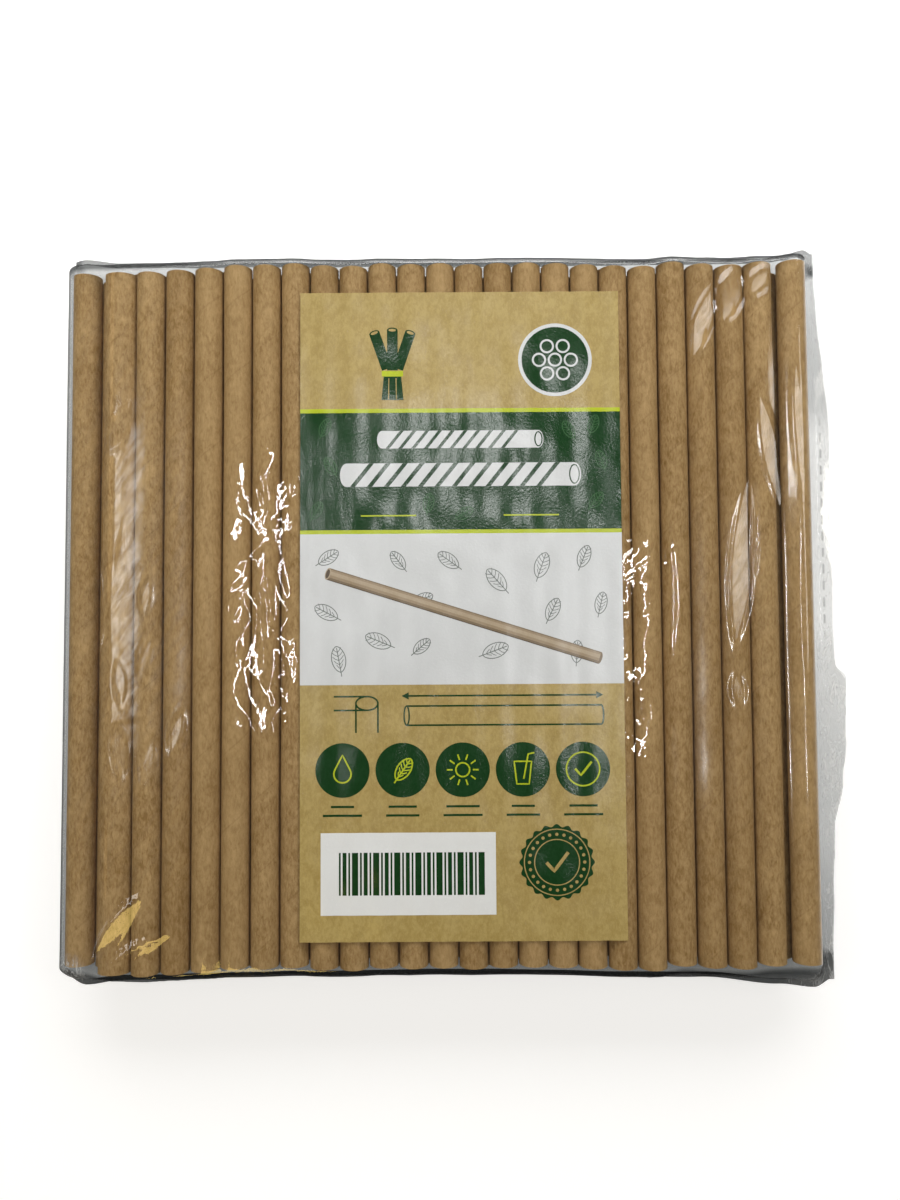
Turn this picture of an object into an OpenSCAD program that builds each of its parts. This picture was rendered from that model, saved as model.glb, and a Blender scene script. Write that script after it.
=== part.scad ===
// A sealed clear sleeve that holds four nested layers of kraft paper drinking straws,
// with a printed paper label stuck on its front. The pack lies on its back: X runs
// across the straws, Y along them and Z up through the layers to the label.

/* [Straws] */
// Outer diameter of one straw
straw_od = 8; // [7:0.1:10]
// Paper wall of one straw, four plies wound together
straw_wall = 0.48; // [0.3:0.02:0.8]
// Length of one straw
straw_len = 197; // [160:1:240]
// Room between neighbours in a layer
straw_gap = 0.3; // [0.15:0.05:0.5]
// Room between a straw and the ones that it rests on
rest_gap = 0.05; // [0.02:0.01:0.1]
// Extra width of the second front straw, which is squeezed flat
squeeze = 1; // [0.2:0.1:1.6]
// How far the first front straw has slipped down the side of the stack
slip_drop = 4.2; // [3:0.1:5]
// How far the last front straw stands away from its place
stray_shift = 1.3; // [0:0.1:1.8]
// Largest shift along Y of a straw in the hidden and back layers
loose_shift = 1.2; // [0:0.1:1.8]
// Largest shift along Y of a straw in the front layer
front_loose = 1.4; // [0:0.1:1.8]

/* [Film] */
// Thickness of the clear film
film_t = 0.2; // [0.1:0.05:0.4]
// Room between the film and the straws
film_gap = 0.1; // [0.05:0.05:0.3]
// Dip of the film between neighbouring front straws
film_dip = 0.45; // [0.1:0.05:0.8]
// Slack of the film at its folded left edge
left_slack = 2.2; // [0.5:0.1:3]
// Room between the straw ends and the start of the film's closed ends
end_room = 2.3; // [2.1:0.1:4]
// How far each closed end bulges out to its seal
end_bulge = 3.6; // [3:0.1:9]
// Width of the flat seal strip across each end
seal_w = 1.2; // [1:0.1:5]
// Distance from the widest layer to the root of the side seal
side_bulge = 3.2; // [2.4:0.1:6]
// Width of the side seal along most of the pack
side_seal = 3; // [2:0.1:6]
// Extra width of the side seal at its loose flap
flap_w = 5; // [0:0.1:8]
// How far the closed ends spread sideways into corner ears
ear_reach = 2.3; // [0:0.1:3.5]
// How far the corner ears stand out beyond the rest of each end
ear_out = 2.6; // [0:0.1:4]

/* [Label] */
// Width of the paper label
label_w = 90; // [50:1:120]
// Height of the paper label, along the straws
label_h = 181; // [120:1:186]
// Thickness of the label
label_t = 0.15; // [0.1:0.01:0.3]
// Room between the label and the film's ridges
label_gap = 0.04; // [0.02:0.01:0.1]
// Dip of the label between neighbouring straws
label_dip = 0.12; // [0:0.02:0.2]
// Label's middle, to the right of the middle straw
label_right = 5.5; // [-20:0.5:20]
// Label's middle, along Y from the middle of the pack
label_up = -0.2; // [-2:0.1:2]

/* [Hidden] */
straws_wide = 25;
layers = 4;
kraft_straw = [0.67, 0.54, 0.38];
clear_film = [0.86, 0.88, 0.89, 0.3];
kraft_paper = [0.78, 0.69, 0.47];
print_green = [0.07, 0.29, 0.13];
print_lime = [0.76, 0.82, 0.09];
print_white = [0.9, 0.91, 0.92];

// Shifts of the front straws along Y as shares of the largest, from left to right
front_shares = [
    -0.1, -0.9, -1, -0.65, -0.3, 0.25, 0.3, 0.5, 0.05, -0.1, 0.35, 0.2, 0.3,
    0.05, 0.3, 0.35, 0.2, -0.1, -0.35, -0.5, 0.35, -0.1, -0.3, 0.25, 0.45
];

// Side seal's extra width along Y, as [share of the body's half length, share of flap_w]
flap_outline = [
    [-0.97, 0.5], [-0.72, 0.6], [-0.47, 0.96], [-0.29, 1],
    [-0.18, 0.1], [0.2, 0], [0.55, -0.1], [0.8, -0.4], [0.97, -0.6]
];

// Lower edges of the label's printed bands as shares of its height, with their colours
label_bands = [
    [0, kraft_paper], [0.389, print_white], [0.624, print_lime], [0.63, print_green],
    [0.811, print_lime], [0.818, kraft_paper], [1, kraft_paper]
];

straw_r = straw_od / 2;
bore_r = straw_r - straw_wall;
pitch = straw_od + straw_gap;
touch = straw_od + rest_gap;
rise = sqrt(touch * touch - pitch * pitch / 4);
flat_a = straw_r + squeeze / 2;
flat_b = sqrt(2 * straw_r * straw_r - flat_a * flat_a);
back_z = film_t + film_gap + straw_r;
front_base = back_z + (layers - 2) * rise;
cut_over = 1;
cut_len = straw_len + 2 * cut_over;
round_fn = 64;
oval_steps = 48;
golden_angle = 137.5;

function layer_x(i, layer) =
    (i - (straws_wide + 1) / 2) * pitch + (layer % 2 == 0 ? pitch / 2 : 0);
function layer_z(layer) = back_z + (layers - layer) * rise;
function layer_shift(i, layer) = loose_shift * sin(golden_angle * (i + 7 * layer));
function front_shift(i) = front_loose * front_shares[(i - 1) % len(front_shares)];

// Half width and half height of a front straw: only the second is squeezed
function front_a(i) = i == 2 ? flat_a : straw_r;
function front_b(i) = i == 2 ? flat_b : straw_r;
function slip_x() =
    layer_x(1, 2) - sqrt(touch * touch - pow(rise - slip_drop, 2));
function front_x(i) =
    i == 1 ? slip_x()
    : i == 2 ? layer_x(3, 1) - straw_r - straw_gap - flat_a
    : layer_x(i, 1) + (i == straws_wide ? stray_shift : 0);

// Height at which an oval of half axes a and b clears a straw that lies dx to its side
function height_over(a, b, dx) = max([
    for (t = [0:2:90])
        let (side = abs(dx) - a * cos(t))
        b * sin(t) + sqrt(max(0, pow(straw_r + rest_gap, 2) - side * side))
]);
function nest_height(i) = max(
    height_over(front_a(i), front_b(i), front_x(i) - layer_x(i - 1, 2)),
    height_over(front_a(i), front_b(i), front_x(i) - layer_x(i, 2))
);
function front_z(i) =
    i == 1 ? front_base + rise - slip_drop
    : i == 2 || i == straws_wide ? front_base + nest_height(i)
    : front_base + rise;

// The closed ends start past the furthest straw end, and the seal lies at mid-height
seal_z = (layer_z(1) + straw_r + film_gap + film_t) / 2;
body_y = straw_len / 2 + end_room;
side_root = layer_x(straws_wide, 2) + straw_r + side_bulge;
side_tip = side_root + side_seal;

// The straws bulge to the left most in the layer above the back one
fold_layer = layers - 1;

// The corner ears are drawn outwards more and more steeply towards the two sides
end_stretch = 1 + ear_reach / side_tip;
ear_power = 8;
function ear_at(x) = ear_out * pow(min(1, abs(x) / side_tip), ear_power);

function arc(cx, cz, rx, rz, angles) = [
    for (a = angles) [cx + rx * cos(a), cz + rz * sin(a)]
];

// Angle at which a line from a point touches a circle, above it (1) or below it (-1)
function touch_angle(cx, cz, r, point, way) =
    let (dx = point[0] - cx, dz = point[1] - cz)
    atan2(dz, dx) + way * acos(r / norm([dx, dz]));

// Angles from one to another in even steps, without the first one
function steps(from, to, count) = [for (k = [1:count]) from + (to - from) * k / count];

// Film over the front straws from the second one to the last, with g between them
function film_top(g) = [
    for (i = [2:straws_wide - 1])
        let (
            from = [front_x(i), front_z(i) + front_b(i) + g],
            to = [front_x(i + 1), front_z(i + 1) + front_b(i + 1) + g]
        )
        each [(from + to) / 2 - [0, film_dip], to]
];

// One closed section of the film at distance g from the straws. It starts at the left
// fold and runs over the front, round the side seal and back along the flat underside.
function section(g, tip, half_seal) =
    let (
        r = straw_r + g,
        last = straws_wide,
        x1 = front_x(1) - left_slack,
        front_last = [front_x(last), front_z(last)],
        back_last = [layer_x(last, layers), back_z],
        root = [side_root, seal_z],
        leave = touch_angle(front_last[0], front_last[1], r, root, 1),
        land = touch_angle(back_last[0], back_last[1], r, root, -1)
    )
    concat(
        [[x1 - r + left_slack / 2, seal_z]],
        arc(x1, front_z(1), r, r, [180, 155, 130, 110]),
        arc(front_x(1), front_z(1), r, r, [90]),
        arc(front_x(2), front_z(2), flat_a + g, flat_b + g, [125, 107, 90]),
        film_top(g),
        arc(front_last[0], front_last[1], r, r, steps(90, leave, 3)),
        [[side_root, seal_z + half_seal], [tip, seal_z + half_seal]],
        [[tip, seal_z - half_seal], [side_root, seal_z - half_seal]],
        arc(back_last[0], back_last[1], r, r, [land, each steps(land, -90, 4)]),
        arc(layer_x(1, layers), back_z, r, r, [270, 245, 222]),
        arc(layer_x(1, fold_layer) - left_slack, layer_z(fold_layer), r, r, [205, 188])
    );

// A section drawn together towards the seal: 1 is fully open and 0 is sealed flat
function drawn_in(points, y, open, half_seal) = [
    for (p = points)
        let (
            dz = p[1] - seal_z,
            least = min(abs(dz), half_seal),
            shut = 1 - open,
            stretch = 1 + (end_stretch - 1) * shut
        )
        [
            p[0] * stretch,
            y + sign(y) * ear_at(p[0]) * shut,
            seal_z + sign(dz) * max(abs(dz) * open, least)
        ]
];

// Side seal's edge at a distance along Y
function tip_at(y) = side_tip + flap_w * lookup(y / body_y, flap_outline);

// Where a ring of points lies along Y, away from its corner ears
function level_of(ring) =
    let (ys = [for (p = ring) abs(p[1])])
    sign(ring[0][1]) * min(ys);

// A closed solid through rings of points that each lie across Y, with its two ends
// closed by triangles round their middles, because a sealed end has its points in line
module loft(rings) {
    n = len(rings[0]);
    last = len(rings) - 1;
    middles = [for (k = [0, last]) [0, level_of(rings[k]), seal_z]];
    start = (last + 1) * n;
    sides = [
        for (j = [0:last - 1], k = [0:n - 1])
            let (a = j * n + k, b = j * n + (k + 1) % n)
            each [[a, b + n, b], [a, a + n, b + n]]
    ];
    ends = [
        for (k = [0:n - 1])
            let (next = (k + 1) % n)
            each [[start, k, next], [start + 1, last * n + next, last * n + k]]
    ];
    polyhedron(
        points = concat([for (ring = rings) each ring], middles),
        faces = concat(sides, ends),
        convexity = 10
    );
}

end_angles = [88, 76, 62, 47, 32, 17];

// Rings of the film's outer skin, with the flat seals and the loose flap
function outer_rings() =
    let (
        seal_y = body_y + end_bulge,
        g = film_gap + film_t,
        ring = function (y, open)
            drawn_in(section(g, tip_at(y), film_t), y, open, film_t)
    )
    concat(
        [ring(-seal_y - seal_w, 0)],
        [for (a = end_angles) ring(-body_y - end_bulge * sin(a), cos(a))],
        [ring(-body_y, 1)],
        [for (f = flap_outline) ring(f[0] * body_y, 1)],
        [ring(body_y, 1)],
        [for (k = [len(end_angles) - 1:-1:0])
            ring(body_y + end_bulge * sin(end_angles[k]), cos(end_angles[k]))],
        [ring(seal_y + seal_w, 0)]
    );

// Rings of the hollow that holds the straws
function hollow_rings() =
    let (
        bulge = end_bulge - film_t,
        slit = film_t / 4,
        tip = side_root + slit,
        ring = function (y, open)
            drawn_in(section(film_gap, tip, slit), y, open, slit)
    )
    concat(
        [ring(-body_y - bulge, 0)],
        [for (k = [1:len(end_angles) - 1])
            ring(-body_y - bulge * sin(end_angles[k]), cos(end_angles[k]))],
        [ring(-body_y, 1), ring(body_y, 1)],
        [for (k = [len(end_angles) - 1:-1:1])
            ring(body_y + bulge * sin(end_angles[k]), cos(end_angles[k]))],
        [ring(body_y + bulge, 0)]
    );

// The pack's frame has its origin under the middle of the film's whole outline, whose
// widest places are the corner ears and the loose flap
film_left = (front_x(1) - left_slack - straw_r - film_gap - film_t) * end_stretch;
film_right = max(side_tip + flap_w, tip_at(-body_y) * end_stretch, tip_at(body_y) * end_stretch);
pack_x = -(film_left + film_right) / 2;

module film_sleeve() {
    color(clear_film)
        translate([pack_x, 0, 0])
            difference() {
                loft(outer_rings());
                loft(hollow_rings());
            }
}

// A round paper tube along Y, centred on its own middle
module straw() {
    color(kraft_straw)
        rotate([90, 0, 0])
            difference() {
                cylinder(h = straw_len, r = straw_r, center = true, $fn = round_fn);
                cylinder(h = cut_len, r = bore_r, center = true, $fn = round_fn);
            }
}

function oval(a, b) = [
    for (k = [0:oval_steps - 1])
        [a * cos(360 * k / oval_steps), b * sin(360 * k / oval_steps)]
];

// A straw that the pack has squeezed flat
module flat_straw() {
    color(kraft_straw)
        rotate([90, 0, 0])
            difference() {
                linear_extrude(straw_len, center = true)
                    polygon(oval(flat_a, flat_b));
                linear_extrude(cut_len, center = true)
                    polygon(oval(flat_a - straw_wall, flat_b - straw_wall));
            }
}

module front_straw(i) {
    translate([pack_x + front_x(i), front_shift(i), front_z(i)])
        if (i == 2) flat_straw();
        else straw();
}

module layer_straw(i, layer) {
    translate([pack_x + layer_x(i, layer), layer_shift(i, layer), layer_z(layer)])
        straw();
}

module hidden_layer(layer) {
    for (i = [1:straws_wide]) layer_straw(i, layer);
}

// Underside of the label: it touches the film's ridges and dips a little between them
ridge_z = layer_z(1) + straw_r + film_gap + film_t + label_gap;
wave_steps = 6;
wave_dx = pitch / wave_steps;
function label_under(x) =
    ridge_z - label_dip * pow(sin(180 * (x - layer_x(1, 1)) / pitch), 2);

function label_stops() =
    let (
        left = label_right - label_w / 2,
        right = label_right + label_w / 2,
        first = floor(left / wave_dx) + 1,
        final = ceil(right / wave_dx) - 1
    )
    concat([left], [for (k = [first:final]) k * wave_dx], [right]);

module label_band(from_y, to_y) {
    stops = label_stops();
    translate([pack_x, to_y, 0])
        rotate([90, 0, 0])
            linear_extrude(to_y - from_y)
                polygon(concat(
                    [for (x = stops) [x, label_under(x)]],
                    [for (k = [len(stops) - 1:-1:0])
                        [stops[k], label_under(stops[k]) + label_t]]
                ));
}

module front_label() {
    low = label_up - label_h / 2;
    for (k = [0:len(label_bands) - 2])
        color(label_bands[k][1])
            label_band(
                low + label_h * label_bands[k][0],
                low + label_h * label_bands[k + 1][0]
            );
}

function numbered(name, i) = str(name, i < 10 ? "0" : "", i);

film_sleeve();
front_label();
hidden_layer(2);  // straws_inner_upper
hidden_layer(3);  // straws_inner_lower
for (i = [1:straws_wide])
    front_straw(i);
for (i = [1:straws_wide])
    layer_straw(i, layers);
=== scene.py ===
"""The looks of a film-wrapped pack of paper straws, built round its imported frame.

Sizes are in millimetres and become metres when a mesh is written. X runs across the straws,
Y along them, and Z up through the layers to the label.
"""

from __future__ import annotations

import logging
import math
import random
from bisect import bisect_right
from dataclasses import dataclass, field
from enum import Enum
from typing import Callable, Iterable, Sequence

import bmesh
import bpy
from mathutils import Matrix, Vector, noise

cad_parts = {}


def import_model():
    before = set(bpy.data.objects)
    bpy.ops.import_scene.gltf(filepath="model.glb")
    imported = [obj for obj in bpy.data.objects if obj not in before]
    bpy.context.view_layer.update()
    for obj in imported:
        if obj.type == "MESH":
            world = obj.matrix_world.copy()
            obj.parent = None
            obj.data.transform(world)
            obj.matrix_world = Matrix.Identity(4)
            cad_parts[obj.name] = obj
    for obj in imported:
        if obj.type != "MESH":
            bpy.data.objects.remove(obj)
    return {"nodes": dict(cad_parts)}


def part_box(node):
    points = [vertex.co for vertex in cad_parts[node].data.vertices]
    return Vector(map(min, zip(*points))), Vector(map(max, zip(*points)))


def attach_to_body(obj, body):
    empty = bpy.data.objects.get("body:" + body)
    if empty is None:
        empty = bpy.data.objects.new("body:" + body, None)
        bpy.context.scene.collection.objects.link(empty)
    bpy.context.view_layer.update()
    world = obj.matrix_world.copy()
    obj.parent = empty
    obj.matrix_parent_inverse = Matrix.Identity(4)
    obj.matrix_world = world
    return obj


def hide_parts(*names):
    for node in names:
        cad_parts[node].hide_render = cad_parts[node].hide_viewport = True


LOG = logging.getLogger("straw_pack")
MM = 0.001
BODY = "root"

Point = tuple[float, float]
Colour = tuple[float, float, float]

SMOOTH_ANGLE = 40.0
WHITE_LIGHT: Colour = (1.0, 1.0, 1.0)


def smooth_step(low: float, high: float, value: float) -> float:
    """Returns 0 below low, 1 above high and a smooth curve between them."""
    if high == low:
        return 1.0 if value >= high else 0.0
    share = min(1.0, max(0.0, (value - low) / (high - low)))
    return share * share * (3 - 2 * share)


def lerp(start: float, end: float, share: float) -> float:
    """Returns the value at a share of the way from start to end."""
    return start + (end - start) * share


def waver(x: float, y: float, z: float) -> float:
    """Returns smooth noise, mostly between -0.5 and 0.5, at a point."""
    return noise.noise(Vector((x, y, z)))


def at_angle(reach: float, angle: float) -> Point:
    """Returns the point at a distance and an angle in radians from the origin."""
    return reach * math.cos(angle), reach * math.sin(angle)


def follow(points: Sequence[Point], at: float) -> float:
    """Reads a curve that is given by a few points.

    Args:
        points: The curve's points, with rising first values.
        at: Where the curve is read.

    Returns:
        The curve's second value there, eased between its points.
    """
    if at <= points[0][0]:
        return points[0][1]
    for (x0, y0), (x1, y1) in zip(points, points[1:]):
        if at <= x1:
            return lerp(y0, y1, smooth_step(x0, x1, at))
    return points[-1][1]


class Wire:
    """A socket of a shader tree that can stand in a Python expression."""

    def __init__(self, graph: Graph, socket: bpy.types.NodeSocket) -> None:
        """Keeps the socket and the tree that it belongs to."""
        self.graph = graph
        self.socket = socket

    def __add__(self, other: Value) -> Wire:
        """Returns the sum of two values."""
        return self.graph.math("ADD", self, other)

    def __sub__(self, other: Value) -> Wire:
        """Returns this value less the other."""
        return self.graph.math("SUBTRACT", self, other)

    def __rsub__(self, other: Value) -> Wire:
        """Returns the other value less this one."""
        return self.graph.math("SUBTRACT", other, self)

    def __mul__(self, other: Value) -> Wire:
        """Returns the product of two values."""
        return self.graph.math("MULTIPLY", self, other)

    def __truediv__(self, other: Value) -> Wire:
        """Returns this value divided by the other."""
        return self.graph.math("DIVIDE", self, other)

    def __pow__(self, other: float) -> Wire:
        """Returns this value raised to a power."""
        return self.graph.math("POWER", self, other)

    def __abs__(self) -> Wire:
        """Returns this value without its sign."""
        return self.graph.math("ABSOLUTE", self)

    __radd__ = __add__
    __rmul__ = __mul__


Value = Wire | float


class Graph:
    """The node tree of one material, built by short calls."""

    def __init__(self, name: str) -> None:
        """Starts an empty material of that name."""
        self.material = bpy.data.materials.new(name)
        self.material.use_nodes = True
        self.tree = self.material.node_tree
        self.tree.nodes.clear()
        self._object: Wire | None = None

    def node(self, kind: str, settings: dict | None = None, inputs: dict | None = None) -> bpy.types.Node:
        """Adds a node.

        Args:
            kind: The node's type.
            settings: Its properties, set before anything else.
            inputs: Values, colours or wires by the name or number of their socket.

        Returns:
            The new node.
        """
        made = self.tree.nodes.new(kind)
        for key, value in (settings or {}).items():
            setattr(made, key, value)
        for key, value in (inputs or {}).items():
            socket = made.inputs[key]
            if isinstance(value, Wire):
                self.tree.links.new(value.socket, socket)
            elif isinstance(value, tuple) and socket.type == "RGBA":
                socket.default_value = (*value[:3], 1)
            else:
                socket.default_value = value
        return made

    def out(self, made: bpy.types.Node, output: str | int = 0) -> Wire:
        """Returns one output of a node as a wire."""
        return Wire(self, made.outputs[output])

    def math(self, operation: str, *values: Value) -> Wire:
        """Returns a Math node's result for some values."""
        made = self.node("ShaderNodeMath", {"operation": operation}, dict(enumerate(values)))
        return self.out(made)

    def clamp(self, value: Wire) -> Wire:
        """Returns a value held between 0 and 1."""
        return self.out(self.node("ShaderNodeClamp", None, {"Value": value}))

    def ease(self, value: Wire, low: float, high: float) -> Wire:
        """Returns 0 below low, 1 above high and a smooth curve between them."""
        settings = {"interpolation_type": "SMOOTHSTEP"}
        inputs = {"Value": value, "From Min": low, "From Max": high}
        return self.out(self.node("ShaderNodeMapRange", settings, inputs))

    def band(self, value: Wire, low: float, high: float, soft: float) -> Wire:
        """Returns 1 between two limits and 0 beyond them, with soft edges."""
        return self.ease(value, low - soft, low + soft) * (1 - self.ease(value, high - soft, high + soft))

    def object_point(self) -> Wire:
        """Returns the place in the pack's own frame."""
        if self._object is None:
            self._object = self.out(self.node("ShaderNodeTexCoord"), "Object")
        return self._object

    def axes(self, point: Wire) -> tuple[Wire, Wire, Wire]:
        """Returns a point's three parts."""
        made = self.node("ShaderNodeSeparateXYZ", None, {0: point})
        return self.out(made, 0), self.out(made, 1), self.out(made, 2)

    def placed(self, scale: Sequence[float], turn: float = 0.0) -> Wire:
        """Returns the place, turned about Z and then stretched, as the base of a pattern."""
        inputs = {
            "Vector": self.object_point(),
            "Rotation": (0, 0, turn),
            "Scale": tuple(1 / part for part in scale),
        }
        return self.out(self.node("ShaderNodeMapping", {"vector_type": "TEXTURE"}, inputs))

    def grain(
        self, point: Wire, scale: float, detail: float = 2, rough: float = 0.5, bend: float = 0,
    ) -> Wire:
        """Returns a noise pattern's value.

        Args:
            point: The place at which it is read.
            scale: How many waves it has in a metre.
            detail: How many finer patterns lie over the first.
            rough: How strong the finer patterns are.
            bend: How far the pattern is swirled.

        Returns:
            The pattern's value, mostly between 0.3 and 0.7.
        """
        inputs = {"Vector": point, "Scale": scale, "Detail": detail, "Roughness": rough, "Distortion": bend}
        return self.out(self.node("ShaderNodeTexNoise", None, inputs), "Fac")

    def attribute(self, name: str) -> Wire:
        """Returns a number that the mesh holds at each point."""
        return self.out(self.node("ShaderNodeAttribute", {"attribute_name": name}), "Fac")

    def point_attribute(self, name: str) -> Wire:
        """Returns a place that the mesh holds at each corner."""
        return self.out(self.node("ShaderNodeAttribute", {"attribute_name": name}), "Vector")

    def mix(self, share: Value, first: Wire | Colour, second: Wire | Colour) -> Wire:
        """Returns two colours mixed by a share."""
        settings = {"data_type": "RGBA", "blend_type": "MIX", "clamp_factor": True}
        made = self.node("ShaderNodeMix", settings, {0: share, 6: first, 7: second})
        return self.out(made, 2)

    def bump(self, height: Wire, depth: float, strength: float = 1.0, base: Wire | None = None) -> Wire:
        """Returns a normal that is bent by a height of up to depth, in metres."""
        inputs: dict = {"Height": height, "Distance": depth, "Strength": strength}
        if base is not None:
            inputs["Normal"] = base
        return self.out(self.node("ShaderNodeBump", None, inputs))

    def shader(self, kind: str, **inputs: Value | Colour) -> Wire:
        """Returns a simple shader of a kind, such as "Glossy", by its sockets' one-word names."""
        return self.out(self.node(f"ShaderNode{kind}", None, inputs))

    def blend(self, share: Value, first: Wire, second: Wire) -> Wire:
        """Returns two shaders mixed by a share."""
        return self.out(self.node("ShaderNodeMixShader", None, {0: share, 1: first, 2: second}))

    def finish(self, shader: Wire) -> bpy.types.Material:
        """Links the last shader to the output and returns the material."""
        self.node("ShaderNodeOutputMaterial", None, {"Surface": shader})
        return self.material

    def paper(self, colour: Wire, roughness: Value, gloss: float, normal: Wire) -> bpy.types.Material:
        """Finishes the material as a paper that doesn't let light through."""
        inputs = {
            "Base Color": colour,
            "Roughness": roughness,
            "Specular IOR Level": gloss,
            "Normal": normal,
        }
        return self.finish(self.out(self.node("ShaderNodeBsdfPrincipled", None, inputs)))


@dataclass(frozen=True)
class KraftStraw:
    """Unbleached kraft paper, wound in a spiral."""

    name: str = "kraft_straw_paper"
    light: Colour = (0.52, 0.348, 0.158)
    dark: Colour = (0.25, 0.14, 0.043)
    fleck: Colour = (0.17, 0.085, 0.022)
    roughness: float = 0.6
    gloss: float = 0.16
    seam_share: float = 0.012
    relief: float = 0.00006

    def build(self) -> bpy.types.Material:
        """Returns the paper's material."""
        g = Graph(self.name)
        fibres = g.grain(g.placed((1, 0.34, 1)), 1500, 4, 0.72, 0.5)
        blotches = g.grain(g.placed((1, 0.55, 1), 0.3), 520, 3, 0.6, 0.3)
        clouds = g.grain(g.placed((1, 0.4, 1), -0.4), 130, 2, 0.6)
        shade = fibres * 0.6 + blotches * 0.3 + clouds * 0.25
        colour = g.mix(g.ease(shade, 0.36, 0.76), self.dark, self.light)
        flecks = g.ease(g.grain(g.placed((1, 0.45, 1), 0.7), 900, 1, 0.5), 0.7, 0.78)
        colour = g.mix(flecks * 0.22, colour, self.fleck)
        tint = g.attribute("tint")
        colour = g.mix(g.clamp(tint), colour, self.light)
        colour = g.mix(g.clamp(0 - tint), colour, self.dark)
        turn = g.math("FRACT", g.axes(g.point_attribute("winding"))[0])
        edge = g.band(turn, 0.5 - self.seam_share, 0.5 + self.seam_share, self.seam_share * 0.4)
        colour = g.mix(edge * 0.16, colour, self.fleck)
        colour = g.mix(g.attribute("ply") * 0.6, colour, self.fleck)
        height = fibres * 0.7 + blotches * 0.5 - edge * 0.5
        rough = self.roughness + (fibres - 0.5) * 0.25
        return g.paper(colour, rough, self.gloss, g.bump(height, self.relief, 0.8))


@dataclass(frozen=True)
class PrintedPaper:
    """Satin label paper, bare or covered by one printed colour."""

    name: str
    colour: Colour
    shade: Colour
    mottle: float = 0.6
    roughness: float = 0.25
    gloss: float = 0.5

    def build(self) -> bpy.types.Material:
        """Returns the paper's material."""
        g = Graph(self.name)
        fibres = g.grain(g.placed((1, 0.5, 1), 0.1), 1500, 4, 0.75, 0.4)
        blotches = g.grain(g.placed((1, 0.6, 1), -0.2), 430, 3, 0.65, 0.5)
        clouds = g.grain(g.object_point(), 120, 3, 0.6)
        broad = g.grain(g.placed((1, 0.75, 1), 0.15), 70, 1, 0.5)
        dimples = g.grain(g.placed((1, 0.7, 1), 0.3), 210, 1)
        pebbles = g.grain(g.object_point(), 1400, 2, 0.6)
        shade = g.ease(fibres * 0.5 + blotches * 0.35 + clouds * 0.15, 0.4, 0.61)
        colour = g.mix(shade * self.mottle, self.colour, self.shade)
        normal = g.bump(broad, 0.00085)
        normal = g.bump(dimples, 0.00005, 1.0, normal)
        normal = g.bump(pebbles, 0.000036, 1.0, normal)
        normal = g.bump(fibres, 0.00002, 0.5, normal)
        return g.paper(colour, self.roughness + (fibres - 0.5) * 0.2, self.gloss, normal)


@dataclass(frozen=True)
class ClearFilm:
    """Thin clear shrink film with fine wrinkles."""

    name: str = "clear_shrink_film"
    tint: Colour = (0.97, 0.975, 0.97)
    # Painted shade: the dark see-through colour the film takes past the straws, standing in for the pack's
    # shadow on the floor seen through it.
    grey: Colour = (0.16, 0.167, 0.168)
    # The white of frosted film, which also paints glints along its crinkles.
    frost_and_glints: Colour = (0.86, 0.87, 0.87)
    weld: Colour = (0.5, 0.5, 0.5)
    straight_on: float = 0.075
    roughness: float = 0.03
    blur: float = 0.12
    dash_pitch: float = 4.9

    def _wrinkles(self, g: Graph) -> Wire:
        """Returns the normal of the slack skin with its wrinkles."""
        crease = g.attribute("crease")
        swirls = g.grain(g.placed((1, 0.45, 1), 0.12), 210, 0, 0.5, 0.7)
        ripples = g.grain(g.placed((1, 0.5, 1), -0.5), 900, 0, 0.5, 0.5)
        fan = g.grain(g.placed((0.14, 1, 1), 0.62), 430, 0, 0.5, 0.14)
        normal = g.bump(swirls * crease, 0.0002)
        normal = g.bump(ripples * (0.03 + crease), 0.00002, 1.0, normal)
        return g.bump(fan * g.attribute("fan"), 0.00015, 1.0, normal)

    def build(self) -> bpy.types.Material:
        """Returns the film's material."""
        g = Graph(self.name)
        along = g.axes(g.object_point())[1]
        normal = self._wrinkles(g)
        cell = g.math("FRACT", along / (self.dash_pitch * MM))
        dash = g.band(cell, 0.2, 0.75, 0.06) * g.band(g.attribute("seam"), -0.3, 0.3, 0.12)
        dash = dash * g.band(along, -8 * MM, 56 * MM, 6 * MM)
        facing = g.out(g.node("ShaderNodeLayerWeight", None, {"Blend": 0.5, "Normal": normal}), "Facing")
        soft = g.attribute("soft")
        wisps = g.ease(g.grain(g.placed((0.22, 1, 1), 1.0), 520, 3, 0.6, 0.8), 0.36, 0.66)
        base = self.straight_on * (1 - soft * (0.6 - wisps * 1.1))
        # Reflections are damped where the painted shade lies.
        calm = g.ease(g.attribute("grey"), 0.05, 0.4) * 0.93
        grazing = (1 - self.straight_on) * facing ** 5.0 * (1 - calm)
        mirror = base * (1 - calm * 0.85) + grazing
        rough = self.roughness + soft * self.blur
        shine = g.shader("BsdfGlossy", Roughness=rough, Normal=normal)
        # Painted shade: the see-through colour darkens towards grey past the straws' ends and sides.
        see_through = g.mix(g.attribute("grey"), self.tint, self.grey)
        see_through = g.mix(dash * 0.8, see_through, self.weld)
        clear = g.shader("BsdfTransparent", Color=see_through)
        # Frosted whitening of the crinkled film, partly painted glints: bright diffuse lines along the
        # crinkles.
        frost_and_glint_diffuse = g.shader("BsdfDiffuse", Color=self.frost_and_glints, Normal=normal)
        crinkle = g.grain(g.placed((1, 0.3, 1)), 420, 3, 0.6, 0.8)
        lines = 1 - g.ease(abs(crinkle - 0.5), 0.0, 0.05)
        haze_frost_and_glints = 0.004 + g.attribute("frost_and_glints") * (0.2 + lines * 0.8)
        body = g.blend(g.clamp(haze_frost_and_glints), clear, frost_and_glint_diffuse)
        return g.finish(g.blend(g.clamp(mirror), body, shine))


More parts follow.
